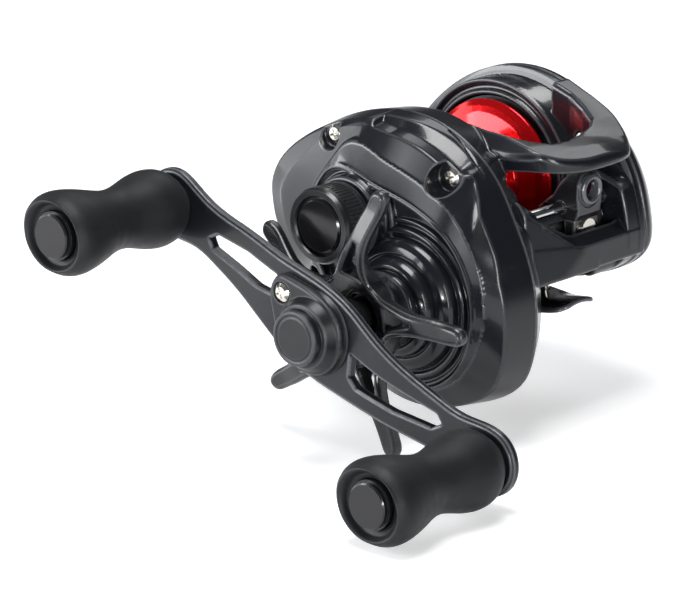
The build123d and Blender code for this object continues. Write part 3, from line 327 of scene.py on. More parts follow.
def lathe(name, centre, profile, body, finish, node, segments, corner, axis="x"):
    """Closed (position, radius) profile turned round an X or Y axis, with exact normals."""
    prof = soften(profile, corner)
    angle = np.linspace(0, 2 * np.pi, segments, endpoint=False)
    ahead = np.roll(prof, -1, 0)
    area = 0.5 * np.sum(prof[:, 0] * ahead[:, 1] - ahead[:, 0] * prof[:, 1])
    side = ahead - prof
    length = np.maximum(np.linalg.norm(side, axis=1), 1e-9)[:, None]
    normal = np.stack([side[:, 1], -side[:, 0]], 1) / length * np.sign(area)

    def blend(own, other):
        smooth = (own * other).sum(1) > math.cos(math.radians(CREASE))
        mean = own + other
        mean = mean / np.maximum(np.linalg.norm(mean, axis=1), 1e-9)[:, None]
        return np.where(smooth[:, None], mean, own)

    def put(along, radius, t):
        if axis == "x":
            return np.stack([along, radius * np.cos(t), radius * np.sin(t)], -1)
        return np.stack([radius * np.sin(t), along, radius * np.cos(t)], -1)
    ring, turn = np.meshgrid(np.arange(len(prof)), angle, indexing='ij')
    points = put(prof[ring, 0], prof[ring, 1], turn).reshape(-1, 3) + np.array(centre, float)
    quads = ring_quads(len(prof), segments)
    # corners 0 and 1 of a quad lie at the start of its profile side, 2 and 3 at its end
    first = quads[:, 0] // segments
    start = blend(normal, np.roll(normal, 1, 0))[first]
    end = blend(normal, np.roll(normal, -1, 0))[first]
    flat = np.stack([start, start, end, end], 1)
    normals = put(flat[..., 0], flat[..., 1], angle[quads % segments])
    quads, turned = outward(points, quads, normals.mean(1))
    if turned:
        normals = normals[:, ::-1]
    ob = mesh_object(name, points, quads, body, finish, node)
    # guards against quads dropped by the mesh validation
    if len(ob.data.loops) == len(quads) * 4:
        ob.data.normals_split_custom_set(normals.reshape(-1, 3).tolist())


def turned_field(grid, profile, axis):
    """Field of a closed (x, radius) profile turned round the line through (y, z) = axis."""
    radii = np.arange(0, 24.0, 0.08)
    table = outline_field(profile, grid.x, radii)
    radius = grid.radius(axis)[0]
    return np.stack([np.interp(radius, radii, row) for row in table]).astype(f4)


# ------------------------------------------------------------------ materials
def add_node(tree, kind, inputs=None, **settings):
    """New shader node; each input is given a value or an output socket to link."""
    node = tree.nodes.new("ShaderNode" + kind)
    for key, value in settings.items():
        setattr(node, key, value)
    for key, value in (inputs or {}).items():
        if isinstance(value, bpy.types.NodeSocket):
            tree.links.new(value, node.inputs[key])
        else:
            node.inputs[key].default_value = value
    return node


def remap(tree, value, old, new):
    """Value mapped from one (min, max) range to another."""
    return add_node(tree, "MapRange", {
        "Value": value, "From Min": old[0], "From Max": old[1],
        "To Min": new[0], "To Max": new[1]}).outputs["Result"]


def edge_highlight_and_wear_colour(tree, colour, highlight_and_wear, edge_colour, amount):
    """Mix in a lighter colour on the edges as painted highlight and wear, found by the mesh
    attribute or a bevel node.
    """
    # lighter colour painted on the edges: painted highlight, partly wear
    if highlight_and_wear == "attr":
        at_edge = add_node(tree, "Attribute", attribute_name="edge_highlight_and_wear").outputs["Fac"]
        span = (0.35, 2.0)
    else:
        bevel = add_node(tree, "Bevel", {"Radius": 0.00022}, samples=4)
        geometry = add_node(tree, "NewGeometry")
        dot = add_node(tree, "VectorMath", {0: bevel.outputs["Normal"],
                                            1: geometry.outputs["Normal"]},
                       operation='DOT_PRODUCT')
        at_edge = add_node(tree, "Math", {0: 1.0, 1: dot.outputs["Value"]},
                           operation='SUBTRACT').outputs["Value"]
        span = (0.02, 0.25)
    factor = remap(tree, at_edge, span, (0.0, amount))
    return add_node(tree, "Mix", {"B": (*edge_colour, 1), "Factor": factor, "A": colour},
                    data_type='RGBA').outputs["Result"]


def lathe_lines(tree, source, axis):
    """Texture place (x, radius), so that noise forms rings round the axis (y, z)."""
    split = add_node(tree, "SeparateXYZ", {0: source})
    offsets = [add_node(tree, "Math", {0: split.outputs[key], 1: centre * MM},
                        operation='SUBTRACT').outputs[0]
               for key, centre in zip("YZ", axis)]
    flat = add_node(tree, "CombineXYZ", {"X": offsets[0], "Y": offsets[1]})
    radius = add_node(tree, "VectorMath", {0: flat.outputs[0]}, operation='LENGTH')
    return add_node(tree, "CombineXYZ", {"X": split.outputs["X"],
                                         "Y": radius.outputs["Value"]}).outputs[0]


def material(name, colour, rough, metal, spec, coat, coat_rough, grain, bump, cloud,
             rough_var, highlight_and_wear=None, sheen=None, turned=None):
    """Finish with clouded colour, varied roughness, fine bump and optional lighter edges painted
    as highlight and wear.
    """
    mat = bpy.data.materials.new(name)
    mat.use_nodes = True
    tree = mat.node_tree
    shader = tree.nodes["Principled BSDF"]
    source = add_node(tree, "TexCoord").outputs["Object"]
    middle = (0.3, 0.7)         # the part of the noise range that is stretched

    clouds = add_node(tree, "TexNoise", {"Scale": 140.0, "Detail": 4.0, "Vector": source})
    shade = remap(tree, clouds.outputs["Fac"], middle, (1.0 - cloud, 1.0 + cloud))
    base = add_node(tree, "VectorMath", {0: colour, "Scale": shade},
                    operation='SCALE').outputs["Vector"]
    smears = add_node(tree, "TexNoise", {"Scale": 420.0, "Detail": 5.0, "Vector": source})
    roughness = remap(tree, smears.outputs["Fac"], middle,
                      (rough * (1 - rough_var), min(1.0, rough * (1 + rough_var))))
    tree.links.new(roughness, shader.inputs["Roughness"])
    if highlight_and_wear:
        base = edge_highlight_and_wear_colour(tree, base, *highlight_and_wear)
    tree.links.new(base, shader.inputs["Base Color"])
    shader.inputs["Metallic"].default_value = metal
    shader.inputs["Specular IOR Level"].default_value = spec
    shader.inputs["Coat Weight"].default_value = coat
    shader.inputs["Coat Roughness"].default_value = coat_rough
    if sheen:
        shader.inputs["Sheen Weight"].default_value = sheen
        shader.inputs["Sheen Roughness"].default_value = 0.5

    grains = add_node(tree, "TexNoise", {"Scale": grain, "Detail": 3.0})
    if turned:
        source = lathe_lines(tree, source, turned)
    tree.links.new(source, grains.inputs["Vector"])
    relief = add_node(tree, "Bump", {"Strength": bump, "Distance": 0.00003,
                                     "Height": grains.outputs["Fac"]})
    tree.links.new(relief.outputs["Normal"], shader.inputs["Normal"])
    return mat


# grey painted on the convex edges of the dark finishes: painted edge highlight, partly wear
EDGE = (0.30, 0.31, 0.34)
# key: name, colour,
#      roughness, metallic, specular, coat, coat roughness, grain scale, bump strength,
#      colour clouding, roughness variation[, (edge finder, edge colour, edge amount)]
FINISHES = {
    "paint": ("satin_slate_paint", (0.0070, 0.0078, 0.0106),
              0.23, 0.0, 0.34, 0.34, 0.05, 3800, 0.014, 0.05, 0.08, ("attr", EDGE, 0.15)),
    "foot": ("gloss_black_foot", (0.008, 0.008, 0.010),
             0.20, 0.0, 0.5, 0.4, 0.06, 1800, 0.05, 0.06, 0.10, ("attr", EDGE, 0.22)),
    "star": ("satin_black_anodised_star", (0.0075, 0.0078, 0.0092),
             0.25, 0.0, 0.42, 0.25, 0.10, 3200, 0.04, 0.06, 0.10, ("attr", EDGE, 0.14)),
    "black_anodised": ("satin_black_anodised", (0.010, 0.0103, 0.012),
                       0.30, 0.0, 0.5, 0.2, 0.2, 3200, 0.08, 0.06, 0.10,
                       ("bevel", EDGE, 0.2)),
    # bright edge colour on the arm: painted highlight on its bevelled edges, partly wear
    "arm": ("gloss_black_anodised_arm", (0.008, 0.0087, 0.0112),
            0.30, 0.0, 0.26, 0.16, 0.08, 2400, 0.04, 0.06, 0.10,
            ("attr", (0.5, 0.52, 0.56), 0.24)),
    "retainer": ("satin_black_retainer", (0.008, 0.0087, 0.0102),
                 0.34, 0.0, 0.30, 0.05, 0.3, 3600, 0.08, 0.06, 0.10, ("attr", EDGE, 0.12)),
    "spool": ("red_anodised", (0.86, 0.006, 0.010),
              0.17, 0.80, 0.6, 0.3, 0.06, 2600, 0.05, 0.04, 0.10),
    "nickel": ("nickel_plate", (0.72, 0.69, 0.63),
               0.20, 1.0, 0.5, 0.0, 0.1, 1500, 0.05, 0.12, 0.25),
    "steel": ("turned_steel", (0.46, 0.46, 0.47),
              0.30, 1.0, 0.5, 0.0, 0.1, 2600, 0.12, 0.12, 0.25),
    "spring": ("spring_wire", (0.36, 0.36, 0.38),
               0.28, 1.0, 0.5, 0.0, 0.12, 3000, 0.06, 0.12, 0.25),
    "chrome": ("polished_rod", (0.78, 0.79, 0.80),
               0.10, 1.0, 0.5, 0.0, 0.12, 1200, 0.02, 0.12, 0.4),
    "brass": ("machined_brass", (0.62, 0.42, 0.17),
              0.30, 1.0, 0.5, 0.0, 0.12, 2600, 0.10, 0.10, 0.25),
    "bronze": ("sintered_bronze", (0.34, 0.20, 0.11),
               0.45, 1.0, 0.5, 0.0, 0.12, 4200, 0.3, 0.2, 0.25),
    "nylon": ("natural_nylon", (0.66, 0.64, 0.58),
              0.48, 0.0, 0.45, 0.0, 0.12, 2200, 0.10, 0.06, 0.25),
    "plastic": ("moulded_black_plastic", (0.010, 0.010, 0.012),
                0.38, 0.0, 0.5, 0.0, 0.2, 3800, 0.20, 0.12, 0.25, ("bevel", EDGE, 0.14)),
    "carriage": ("carriage_plastic", (0.011, 0.011, 0.013),
                 0.24, 0.0, 0.50, 0.2, 0.12, 3600, 0.06, 0.06, 0.10, ("attr", EDGE, 0.16)),
    "cap": ("gloss_black_cap", (0.006, 0.006, 0.007),
            0.17, 0.0, 0.35, 0.1, 0.08, 1500, 0.05, 0.06, 0.10, ("bevel", EDGE, 0.15)),
    # lighter edge colour on the grips: painted edge highlight, partly wear
    "rubber": ("grip_rubber", (0.009, 0.0095, 0.011),
               0.50, 0.0, 0.27, 0.0, 0.3, 5200, 0.18, 0.08, 0.12,
               ("attr", (0.12, 0.12, 0.13), 0.15)),
    "seal": ("seal_rubber", (0.012, 0.012, 0.012),
             0.5, 0.0, 0.45, 0.0, 0.12, 3000, 0.12, 0.12, 0.25),
    # bright edge colour on the eye ring: painted highlight of a polished rim
    "ceramic": ("dark_ceramic", (0.10, 0.105, 0.115),
                0.20, 0.35, 0.6, 0.4, 0.06, 1800, 0.04, 0.06, 0.25,
                ("attr", (0.6, 0.61, 0.64), 0.35)),
    "fibre": ("drag_fibre", (0.05, 0.042, 0.034),
              0.85, 0.0, 0.3, 0.0, 0.12, 3400, 0.5, 0.35, 0.25),
    "magnet": ("magnet_plate", (0.60, 0.60, 0.60),
               0.22, 1.0, 0.5, 0.0, 0.12, 1500, 0.04, 0.12, 0.25),
    "dark_metal": ("dark_coated_metal", (0.03, 0.03, 0.033),
                   0.32, 0.6, 0.5, 0.0, 0.12, 2600, 0.08, 0.12, 0.25)}
EXTRAS = {"spool": {"turned": SPOOL}, "rubber": {"sheen": 0.02}}
MATERIALS = {key: material(*row, **EXTRAS.get(key, {})) for key, row in FINISHES.items()}

# finish: the CAD pieces that wear it
CAD_PIECES = {
    "paint": "frame handle_side_cover palm_side_cover",
    "foot": "reel_foot",
    "nickel": "foot_screws handle_cover_screws palm_cover_screws retainer_screw pawl_cap",
    "bronze": "drive_shaft_bush",
    "steel": "anti_reverse_housing anti_reverse_rollers drive_shaft_bearing pinion_bearing "
             "spool_bearings spool_shaft spool_cross_pin gearbox_posts clutch_cam kick_lever "
             "drive_shaft drag_metal_washers anti_reverse_sleeve handle_nut knob_spindles "
             "worm_shaft pawl",
    "plastic": "brake_plate magnet_holder brake_dial thumb_bar",
    "magnet": "brake_magnets",
    "black_anodised": "cast_control_knob",
    "cap": "cast_knob_insert knob_cap_front knob_cap_rear",
    "seal": "cast_knob_oring",
    "nylon": "spool_tension_shim clutch_yoke level_wind_drive_gear knob_bushes worm_gear "
             "worm_bushes",
    "spool": "spool",
    "brass": "pinion_gear main_gear",
    "spring": "yoke_springs drag_spring_washers",
    "fibre": "drag_fibre_washers",
    "star": "star_drag",
    "dark_metal": "star_nut handle_collar",
    "arm": "handle_arm",
    "retainer": "nut_retainer",
    "rubber": "knob_grip_front knob_grip_rear",
    "chrome": "guide_rod",
    "carriage": "line_guide",
    "ceramic": "line_guide_ring"}
finish_of = {piece: key for key, names in CAD_PIECES.items() for piece in names.split()}
for piece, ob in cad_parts.items():
    ob.data.materials.clear()
    ob.data.materials.append(MATERIALS[finish_of[piece]])


# ------------------------------------------------------------------ handle-side cover
# lines on the cover's outer face: (y, z)
FACET_EDGE = [
    (-11.2, 26.5), (-7.6, 31.6), (-4.2, 35.3), (-1.4, 36.2), (4.9, 34.3), (11.4, 32.3),
    (17.6, 29.9), (22.4, 27.0), (26.9, 22.8), (30.2, 17.6), (32.1, 12.5), (32.6, 8.0),
    (32.0, 2.6), (30.0, -2.6), (25.4, -8.4), (17.4, -12.0), (8.0, -12.4), (0.8, -10.0),
    (-5.5, -5.4), (-9.5, 1.0), (-13.0, 8.5), (-14.4, 16.5), (-13.6, 22.0)]
POCKET_EDGE = [
    (-5.6, 30.1), (-1.0, 29.3), (4.3, 27.7), (10.5, 26.3), (16.7, 24.2), (22.6, 20.8),
    (26.9, 15.8), (29.3, 9.5), (29.3, 2.5), (26.8, -4.4), (22.2, -9.0), (16.0, -11.4),
    (9.0, -11.6), (2.0, -9.5), (-3.6, -5.2), (-6.6, 1.0), (-8.5, 6.5), (-11.4, 11.5),
    (-12.6, 17.5), (-11.8, 24.0), (-9.2, 28.4)]
SCREW_RECESS_RADII = (3.25, 3.0, 2.6)       # in the order of COVER_SCREWS
# parting groove from the top edge round the front corner: (x, y, z)
GROOVE = [(20.9, 13.8, 39.1), (22.0, 18.6, 37.2), (23.2, 23.9, 33.5), (23.6, 25.0, 32.4)]
# bores through the cover: axis, radius, x from, x to
COVER_BORES = [
    (DRIVE, 7.62, 20, 32.8), (DRIVE, 6.62, 32.0, 36.2), (DRIVE, 5.2, 36.0, 39),
    (SPOOL, 4.02, 20, 29.9), (SPOOL, 2.6, 29.5, 33.2), (SPOOL, 3.02, 33.0, 36.4),
    (SPOOL, 4.4, 36.0, 42)]
# bearing dome, with a ring, a groove, two big steps and a collar: (x, radius)
DOME = [
    (30.0, 17.7), (31.15, 17.55), (31.5, 17.2), (31.5, 16.7), (30.75, 16.4), (30.75, 15.9),
    (31.7, 15.6), (31.95, 15.2), (31.95, 14.5), (31.2, 14.1), (31.2, 13.75), (32.4, 13.6),
    (33.3, 13.1), (34.0, 12.2), (34.35, 11.1), (34.35, 10.75), (33.9, 10.6), (33.9, 10.25),
    (35.4, 10.1), (36.3, 9.6), (36.8, 8.9), (36.95, 8.2), (36.6, 8.05), (36.6, 7.75),
    (37.7, 7.6), (38.1, 7.3), (38.1, 6.2), (37.9, 5.6), (36.2, 5.5), (36.2, 6.65),
    (32.8, 6.65), (32.8, 7.65), (30.0, 7.65)]


def cover_skin(grid, edge, pocket):
    """Solid cover: outer face, smooth rear bulge and stepped upper flank."""
    X, Y, Z = grid.X, grid.Y, grid.Z
    facet_edge = grid.yz(spline(FACET_EDGE, 6))
    depth = -edge
    outside = np.maximum(facet_edge, 0)
    rear = sstep(-Y + 0.35 * (Z - 22.0), 5.0, 9.5) * sstep(Z, 8.0, 20.0)
    upper = sstep(Z + 0.35 * Y, 25.0, 31.0) * (1 - rear)
    low = sstep(8.0 - Z, 0.0, 12.0) * sstep(20.0 - Y, 0.0, 20.0)
    # depth and x at which the sloping band round the face ends
    upper_depth = lookup(Y, [-9, -3, 5, 18, 21.5, 24.8], [0.3, 1.5, 2.7, 2.3, 2.0, 0.1])
    upper_x = lookup(Y, [5, 20, 21.5, 24.8, 27, 28.6, 31],
                     [29.2, 29.2, 28.9, 26.2, 27.6, 29.2, 29.0])
    end_depth = upper * upper_depth + (1 - upper) * (1.0 - 0.6 * low)
    end_x = upper * upper_x + (1 - upper) * (29.0 - 1.2 * low)
    ratio = np.clip(outside / np.maximum(outside + depth - end_depth, 0.4), 0, 1.9)
    band = 31.7 - (31.7 - end_x) * ratio
    t = np.clip(facet_edge / np.maximum(facet_edge - edge, 0.2), 0, 1.2)
    bulge = np.interp(t, [0, 0.12, 0.3, 0.65, 1.0, 1.2], [31.9, 30.3, 29.8, 28.9, 26.4, 25.2])
    top = band * (1 - rear) + bulge * rear
    facet = 31.9 + 0.9 * np.clip(-facet_edge / np.maximum(-facet_edge + pocket, 0.3), 0, 1)
    top = np.where(facet_edge < 0, facet, top).astype(f4)
    side = edge + 0.09 * (X - 20.5) * (1 - upper) + 0.03 * (X - 20.5)
    body = smax(side, (X - top) * 0.84, 0.5)
    # riser, tread, riser up the flank, running from the rear screw to the parting groove
    step_depth = lookup(Y, [-9, -5, 5, 18, 21.5, 24.0], [0.0, 0.4, 2.1, 1.8, 1.6, 0.1])
    foot_x = lookup(Y, [-8, 6, 17, 24], [25.2, 25.0, 22.6, 22.6])
    tread = (step_depth + (X - 26.1) / 3.1 * (upper_depth - step_depth) - depth) * upper
    first = smax(body, tread - 4.0 * (1 - upper), 0.22)
    lean, rise = np.maximum(step_depth - 0.1, 0.15), 26.2 - foot_x
    length = np.sqrt(lean * lean + rise * rise)
    riser = ((X - 26.2) * lean - (depth - step_depth) * rise) / length
    riser = smax(riser, X - 26.3, 0.3)
    second = smax(smax(riser, side, 0.35), 3.0 * (1 - upper) - 1.5, 0.2)
    return smax(smin(first, second, 0.2), 20.56 - X, 0.12)


def cover_room(grid, edge):
    """Hollow inside the cover, less the hubs and screw posts left standing in it."""
    X = grid.X
    room = smin(smax(edge + 2.3, X - 24.6, 0.6), smax(edge + 4.9, X - 28.4, 0.6), 0.3)
    hubs = smin(grid.cyl(DRIVE, 9.4, 26.2, 45), grid.cyl(SPOOL, 5.6, 25.4, 45), 0.2)
    room = cut(room, hubs, 0.2)
    for screw in COVER_SCREWS:
        room = cut(room, grid.cyl(screw, 3.9, 20.0, 45), 0.2)
    return room


def handle_cover():
    grid = Grid((20.0, -31.0, -18.4), (41.6, 38.2, 42.6), 0.28)
    X = grid.X
    edge = grid.yz(spline(HANDLE_OUTLINE))
    pocket = grid.yz(spline(POCKET_EDGE, 6))
    drive_r, spool_r = grid.radius(DRIVE), grid.radius(SPOOL)

    def disc(side, top_x, k):
        return smax(smax(side, X - top_x, k), 28.0 - X, 0.2)
    body = cover_skin(grid, edge, pocket)
    # pocket round the star and the cast-control knob, with a groove just outside it
    body = cut(body, smax(pocket, 30.6 - X, 0.4), 0.3)
    body = cut(body, np.abs(pocket - 0.95) * 0.7 + np.abs(X - 32.75) - 0.34, 0.12)
    # stepped bed under the turned dome
    for radius, top_x in ((15.0, 31.0), (13.0, 32.2), (9.0, 35.0)):
        body = smin(body, disc(drive_r - radius, top_x, 0.3), 0.15)
    # seat and threaded spigot of the cast-control knob
    seat = disc(spool_r - 9.3 + 0.28 * (X - 31.0), 34.3, 0.5)
    seat = smin(seat, disc(spool_r - 10.6, 31.9, 0.7), 0.4)
    body = smin(body, seat, 0.4)
    thread = 0.16 * np.sin(X * 2 * np.pi / 0.9)
    spigot = smax(spool_r - 6.1 - thread, np.maximum(X - 40.5, 30.0 - X), 0.3)
    body = smin(body, spigot, 0.1)
    for screw, radius in zip(COVER_SCREWS, SCREW_RECESS_RADII):
        body = cut(body, grid.cyl(screw, radius, 27.0, 45.0, 0.3), 0.14)
    for start, end in zip(GROOVE, GROOVE[1:]):
        body = cut(body, capsule(grid, start, end, 0.36), 0.1)
    body = cut(body, cover_room(grid, edge), 0.2)
    for axis, radius, x0, x1 in COVER_BORES:
        body = cut(body, grid.cyl(axis, radius, x0, x1, 0.1), 0.15)
    for screw in COVER_SCREWS:
        body = cut(body, grid.cyl(screw, 1.3, 18, 30, 0.1), 0.15)
    sculpt("handle_side_cover_shell", grid, body, "reel_body", "paint", "handle_side_cover")
    lathe("one_way_bearing_dome", (0, *DRIVE), DOME, "reel_body", "paint",
          "handle_side_cover", segments=200, corner=0.16)


# ------------------------------------------------------------------ spool
# thin shell on a central web and hub: (x, radius)
SPOOL_PROFILE = [
    (-11.5, 16.1), (-10.8, 16.1), (-10.6, 15.8), (-10.0, 15.0), (-9.2, 13.6), (-8.3, 11.2),
    (-7.9, 10.2), (-7.2, 9.5), (7.2, 9.5), (7.9, 10.2), (8.3, 11.2), (9.2, 13.6),
    (10.0, 15.0), (10.6, 15.8), (10.8, 16.1), (11.5, 16.1), (11.5, 15.2), (9.9, 13.4),
    (8.8, 9.6), (8.0, 8.6), (1.0, 8.6), (1.0, 4.2), (6.0, 3.4), (6.0, 1.6), (-6.0, 1.6),
    (-6.0, 3.4), (-1.0, 4.2), (-1.0, 8.6), (-8.0, 8.6), (-8.8, 9.6), (-9.9, 13.4),
    (-11.5, 15.2)]
SPOOL_HALF = 16.8       # half height of the grid round the spool


def spool():
    """Turned shell with two rings of ten holes drilled through the arbor."""
    grid = Grid((-12.1, SPOOL[0] - SPOOL_HALF, SPOOL[1] - SPOOL_HALF),
                (12.1, SPOOL[0] + SPOOL_HALF, SPOOL[1] + SPOOL_HALF), 0.23)
    body = turned_field(grid, SPOOL_PROFILE, SPOOL)
    for k in range(10):
        angle = math.radians(36 * k)
        out_y, out_z = -math.sin(angle), math.cos(angle)
        along = (grid.Y - SPOOL[0]) * out_y + (grid.Z - SPOOL[1]) * out_z
        across = (grid.Y - SPOOL[0]) * out_z - (grid.Z - SPOOL[1]) * out_y
        for x in (-4.2, 4.2):
            hole = np.maximum(np.sqrt((grid.X - x) ** 2 + across ** 2) - 1.2, 5.0 - along)
            body = cut(body, hole, 0.25)
    sculpt("spool_shell", grid, body, "spool_assembly", "spool", "spool")


# ------------------------------------------------------------------ line guide
CARRIAGE_SIDE = [       # (y, z)
    (19.2, 14.6), (20.0, 13.2), (22.0, 12.4), (25.2, 12.4), (27.4, 13.8), (29.4, 14.6),
    (29.4, 19.0), (30.0, 20.2), (30.2, 22.0), (30.2, 28.2), (29.4, 29.2), (27.2, 29.2),
    (25.2, 26.4), (23.4, 23.6), (19.8, 20.6), (19.2, 18.6)]
EYE_PROFILE = [         # (y, radius)
    (28.7, 1.95), (28.7, 2.66), (30.22, 2.66), (30.22, 3.2), (30.65, 3.2), (30.95, 2.8),
    (31.0, 2.4), (30.7, 2.05), (30.3, 1.95)]


def line_guide():
    """Carriage on the worm and guide rod, with its dark ring."""
    grid = Grid((-8.6, 18.4, 11.6), (1.0, 31.2, 30.4), 0.19)
    X, Y, Z = grid.X, grid.Y, grid.Z
    off = X - EYE_X
    eye_r = np.sqrt(off ** 2 + (Z - EYE_Z) ** 2)
    body = smax(grid.yz(CARRIAGE_SIDE),
                np.abs(off) - 3.9 + 0.25 * sstep(Z, 14.0, 20.0) - 0.25, 0.5)
    crown = np.sqrt(off ** 2 + np.maximum(Z - EYE_Z, 0) ** 2) - 4.05
    body = smax(body, crown, 0.5)
    waist = np.maximum(np.abs(np.abs(off) - 4.3) - 0.55, np.abs(Z - 20.3) - 1.1)
    body = cut(body, waist, 0.4)
    # fine groove round the eye on the front face
    body = cut(body, np.maximum(np.abs(eye_r - 3.62) - 0.16, 29.95 - Y), 0.1)
    worm_bore = grid.radius(WORM) - 3.24
    rod_bore = grid.radius(ROD) - 1.26
    eye_bore = np.maximum(eye_r - 2.72, 20.0 - Y)
    rear_bore = np.maximum(np.sqrt(off ** 2 + (Z - EYE_Z - 0.6) ** 2) - 3.1, Y - 28.6)
    front_bore = np.maximum(np.sqrt(off ** 2 + (Z - WORM[1]) ** 2) - 1.35, 26.0 - Y)
    for bore in (worm_bore, rod_bore, eye_bore, rear_bore, front_bore):
        body = cut(body, bore, 0.15)
    sculpt("line_guide_carriage", grid, body, "carriage", "carriage", "line_guide")
    lathe("line_guide_eye", (EYE_X, 0, EYE_Z), EYE_PROFILE, "carriage", "ceramic",
          "line_guide_ring", segments=96, corner=0.12, axis="y")


# ------------------------------------------------------------------ frame and hood
SIDE_WINDOW = [     # V-shaped opening between the rail and the front wing: (y, z)
    (15.2, 29.0), (17.4, 28.4), (22.6, 30.9), (28.0, 32.0), (45.0, 32.6), (45.0, 9.0),
    (38.0, 9.0), (36.2, 15.6), (33.6, 19.6), (30.6, 23.0), (26.6, 26.0), (21.5, 27.6)]
HOOD_OUTER = [      # plan view: (x, y)
    (16.4, 2), (16.4, 14), (16.2, 20), (15.2, 25.5), (13.2, 30.2), (10.4, 33.6), (6, 35.4),
    (0, 35.9), (-6, 35.7), (-10.3, 34.6), (-13.6, 32.2), (-16.2, 28), (-17.6, 23.5),
    (-18.0, 18), (-18.0, 2), (0, -2)]
HOOD_INNER = [      # plan view: (x, y)
    (12.6, -10), (12.6, 17), (11.6, 21.6), (9.2, 25.4), (6.0, 27.8), (1.5, 28.2),
    (-8.2, 26.2), (-10.4, 24.9), (-12.0, 21.6), (-13.4, 17), (-13.4, -10)]
SHELF_SIDE = [      # shelf under the spool with its front lip and rear wall: (y, z)
    (-25.0, 4.0), (-16.0, 2.3), (12.0, 2.3), (17.0, 3.2), (25.0, 6.2), (33.5, 9.8),
    (33.5, 14.9), (30.6, 17.4), (29.9, 16.6), (30.9, 14.2), (30.6, 11.6), (25.0, 9.0),
    (17.5, 6.6), (12.5, 4.1), (-13.5, 4.1), (-17.5, 6.6), (-21.5, 8.8), (-25.1, 13.0),
    (-25.1, 28.2), (-27.0, 26.2), (-28.6, 21.0), (-28.2, 15.5), (-25.8, 10.0)]
CARRIAGE_ROOM = [   # (y, z)
    (19.0, 14.4), (19.8, 12.9), (21.9, 12.1), (25.4, 12.1), (27.6, 13.5), (29.7, 14.4),
    (30.4, 20.0), (30.5, 28.4), (29.4, 29.5), (27.0, 29.5), (25.0, 26.6), (23.2, 23.8),
    (19.5, 20.8), (18.9, 18.7)]


def gear_wall(grid, edge):
    """Handle-side wall: a hollow rim that tapers inwards, with the side window."""
    X, Y, Z = grid.X, grid.Y, grid.Z
    wing = sstep(Y, 14.0, 27.0) * sstep(Z, 12.0, 25.0)
    low = sstep(-Z, -12.0, 2.0)
    fore = sstep(Y, 6.0, 24.0) * sstep(22.0 - Z, 0.0, 8.0)
    t = np.clip((20.5 - X) / 7.9, 0, 1.2)
    inset = (1.0 + 3.3 * wing * (1 - fore) - 0.3 * low * (1 - fore) + 4.4 * fore) * t
    wall = smax(edge + inset, X - 20.46, 0.2)
    wall = cmax(wall, 12.6 - X, 0.5, 0.2)
    window = grid.yz(SIDE_WINDOW) + 0.72 * np.clip(X - 12.6, -1, 9)
    window = np.where(X > 19.5, np.maximum(window, X - 19.5), window)
    room = smax(np.maximum(edge + 2.1, edge + inset + 1.2), 14.6 - X, 0.3)
    room = cut(room, window - 1.6, 0.4)
    return cut(cut(wall, room, 0.2), window, 0.6)


def palm_wall(grid, edge):
    """Palm-side wall that opens out to an arch in its upper half, with the spool mouth."""
    X, Y, Z = grid.X, grid.Y, grid.Z
    spool_r = grid.radius(SPOOL)
    t = np.clip((-12.4 - X) / 3.6, 0, 1)
    front_gap = sstep(Y, 18.5, 23.5) * sstep(28.5 - Z, 0.0, 5.0)
    upper = sstep(Z + 0.12 * Y, 17.0, 25.0) * (1 - front_gap)
    arch = (spool_r - 20.2) * (1 - t) + (edge + 1.7) * t
    wall = (edge + 0.25) * (1 - upper) + arch * upper
    wall = np.where(X < -16.0, edge, wall)
    wall = smax(wall, np.maximum(X + 12.4, -18.0 - X), 0.5)
    pocket = smax(edge + 2.0, X + 14.6, 0.3)
    wall = cut(wall, smax(pocket, spool_r - 20.4, 0.2), 0.2)
    # raised rings round the spool mouth and the groove between them
    for radius in (19.7, 17.3):
        ring = np.sqrt((spool_r - radius) ** 2 + (X + 12.35) ** 2) - 0.40
        wall = smin(wall, ring, 0.12)
    wall = cut(wall, np.sqrt((spool_r - 18.5) ** 2 + (X + 12.1) ** 2) - 0.75, 0.15)
    return cut(wall, grid.cyl(SPOOL, 16.7, -30, -8), 0.3)


def hood(grid):
    """Nose band whose top falls from both sides to the front edge."""
    X, Y, Z = grid.X, grid.Y, grid.Z
    # top heights along y at the handle side, the middle and the palm side
    handle_top = np.interp(Y, [4, 8, 17, 22, 27, 31, 35, 37],
                           [39.7, 39.3, 38.4, 37.6, 36.5, 35.4, 33.9, 32.8])
    middle_top = np.interp(Y, [14, 22, 28, 32, 35, 37], [38.6, 37.4, 36.2, 35.2, 34.0, 33.0])
    palm_top = np.interp(Y, [6, 13, 19, 26, 31, 34.5], [43.4, 42.5, 40.5, 37.6, 34.9, 32.6])
    to_handle = sstep(X, -2.0, 12.6)
    to_palm = sstep(-X, 2.0, 14.5)
    top = (handle_top * to_handle + palm_top * to_palm
           + middle_top * (1 - to_handle - to_palm))
    top = (top - np.clip(X - 12.6, 0, 9) * 0.95).astype(f4)
    bottom = lookup(Y, [13, 16.3, 19, 23.3, 28, 36], [27.6, 28.9, 30.2, 31.2, 31.6, 31.4])
    side = grid.xy(spline(HOOD_OUTER, 5))
    side = side + 0.30 * np.clip(36.0 - Z, 0, 9) * sstep(X, 2.0, 12.0)
    band = cmax(side, (Z - top) * 0.8, 0.8, 0.15)
    band = smax(band, bottom - Z, 0.25)
    opening = grid.xy(HOOD_INNER) + 0.10 * np.clip(Z - 33.0, -4, 6)
    band = cmax(band, -opening, 0.6, 0.2)
    band = smax(band, 12.0 - Y, 0.5)
    behind = (X < 10.0) & (X > -12.0) & (Y < 18)
    return np.where(behind, np.maximum(band, 0.5), band)


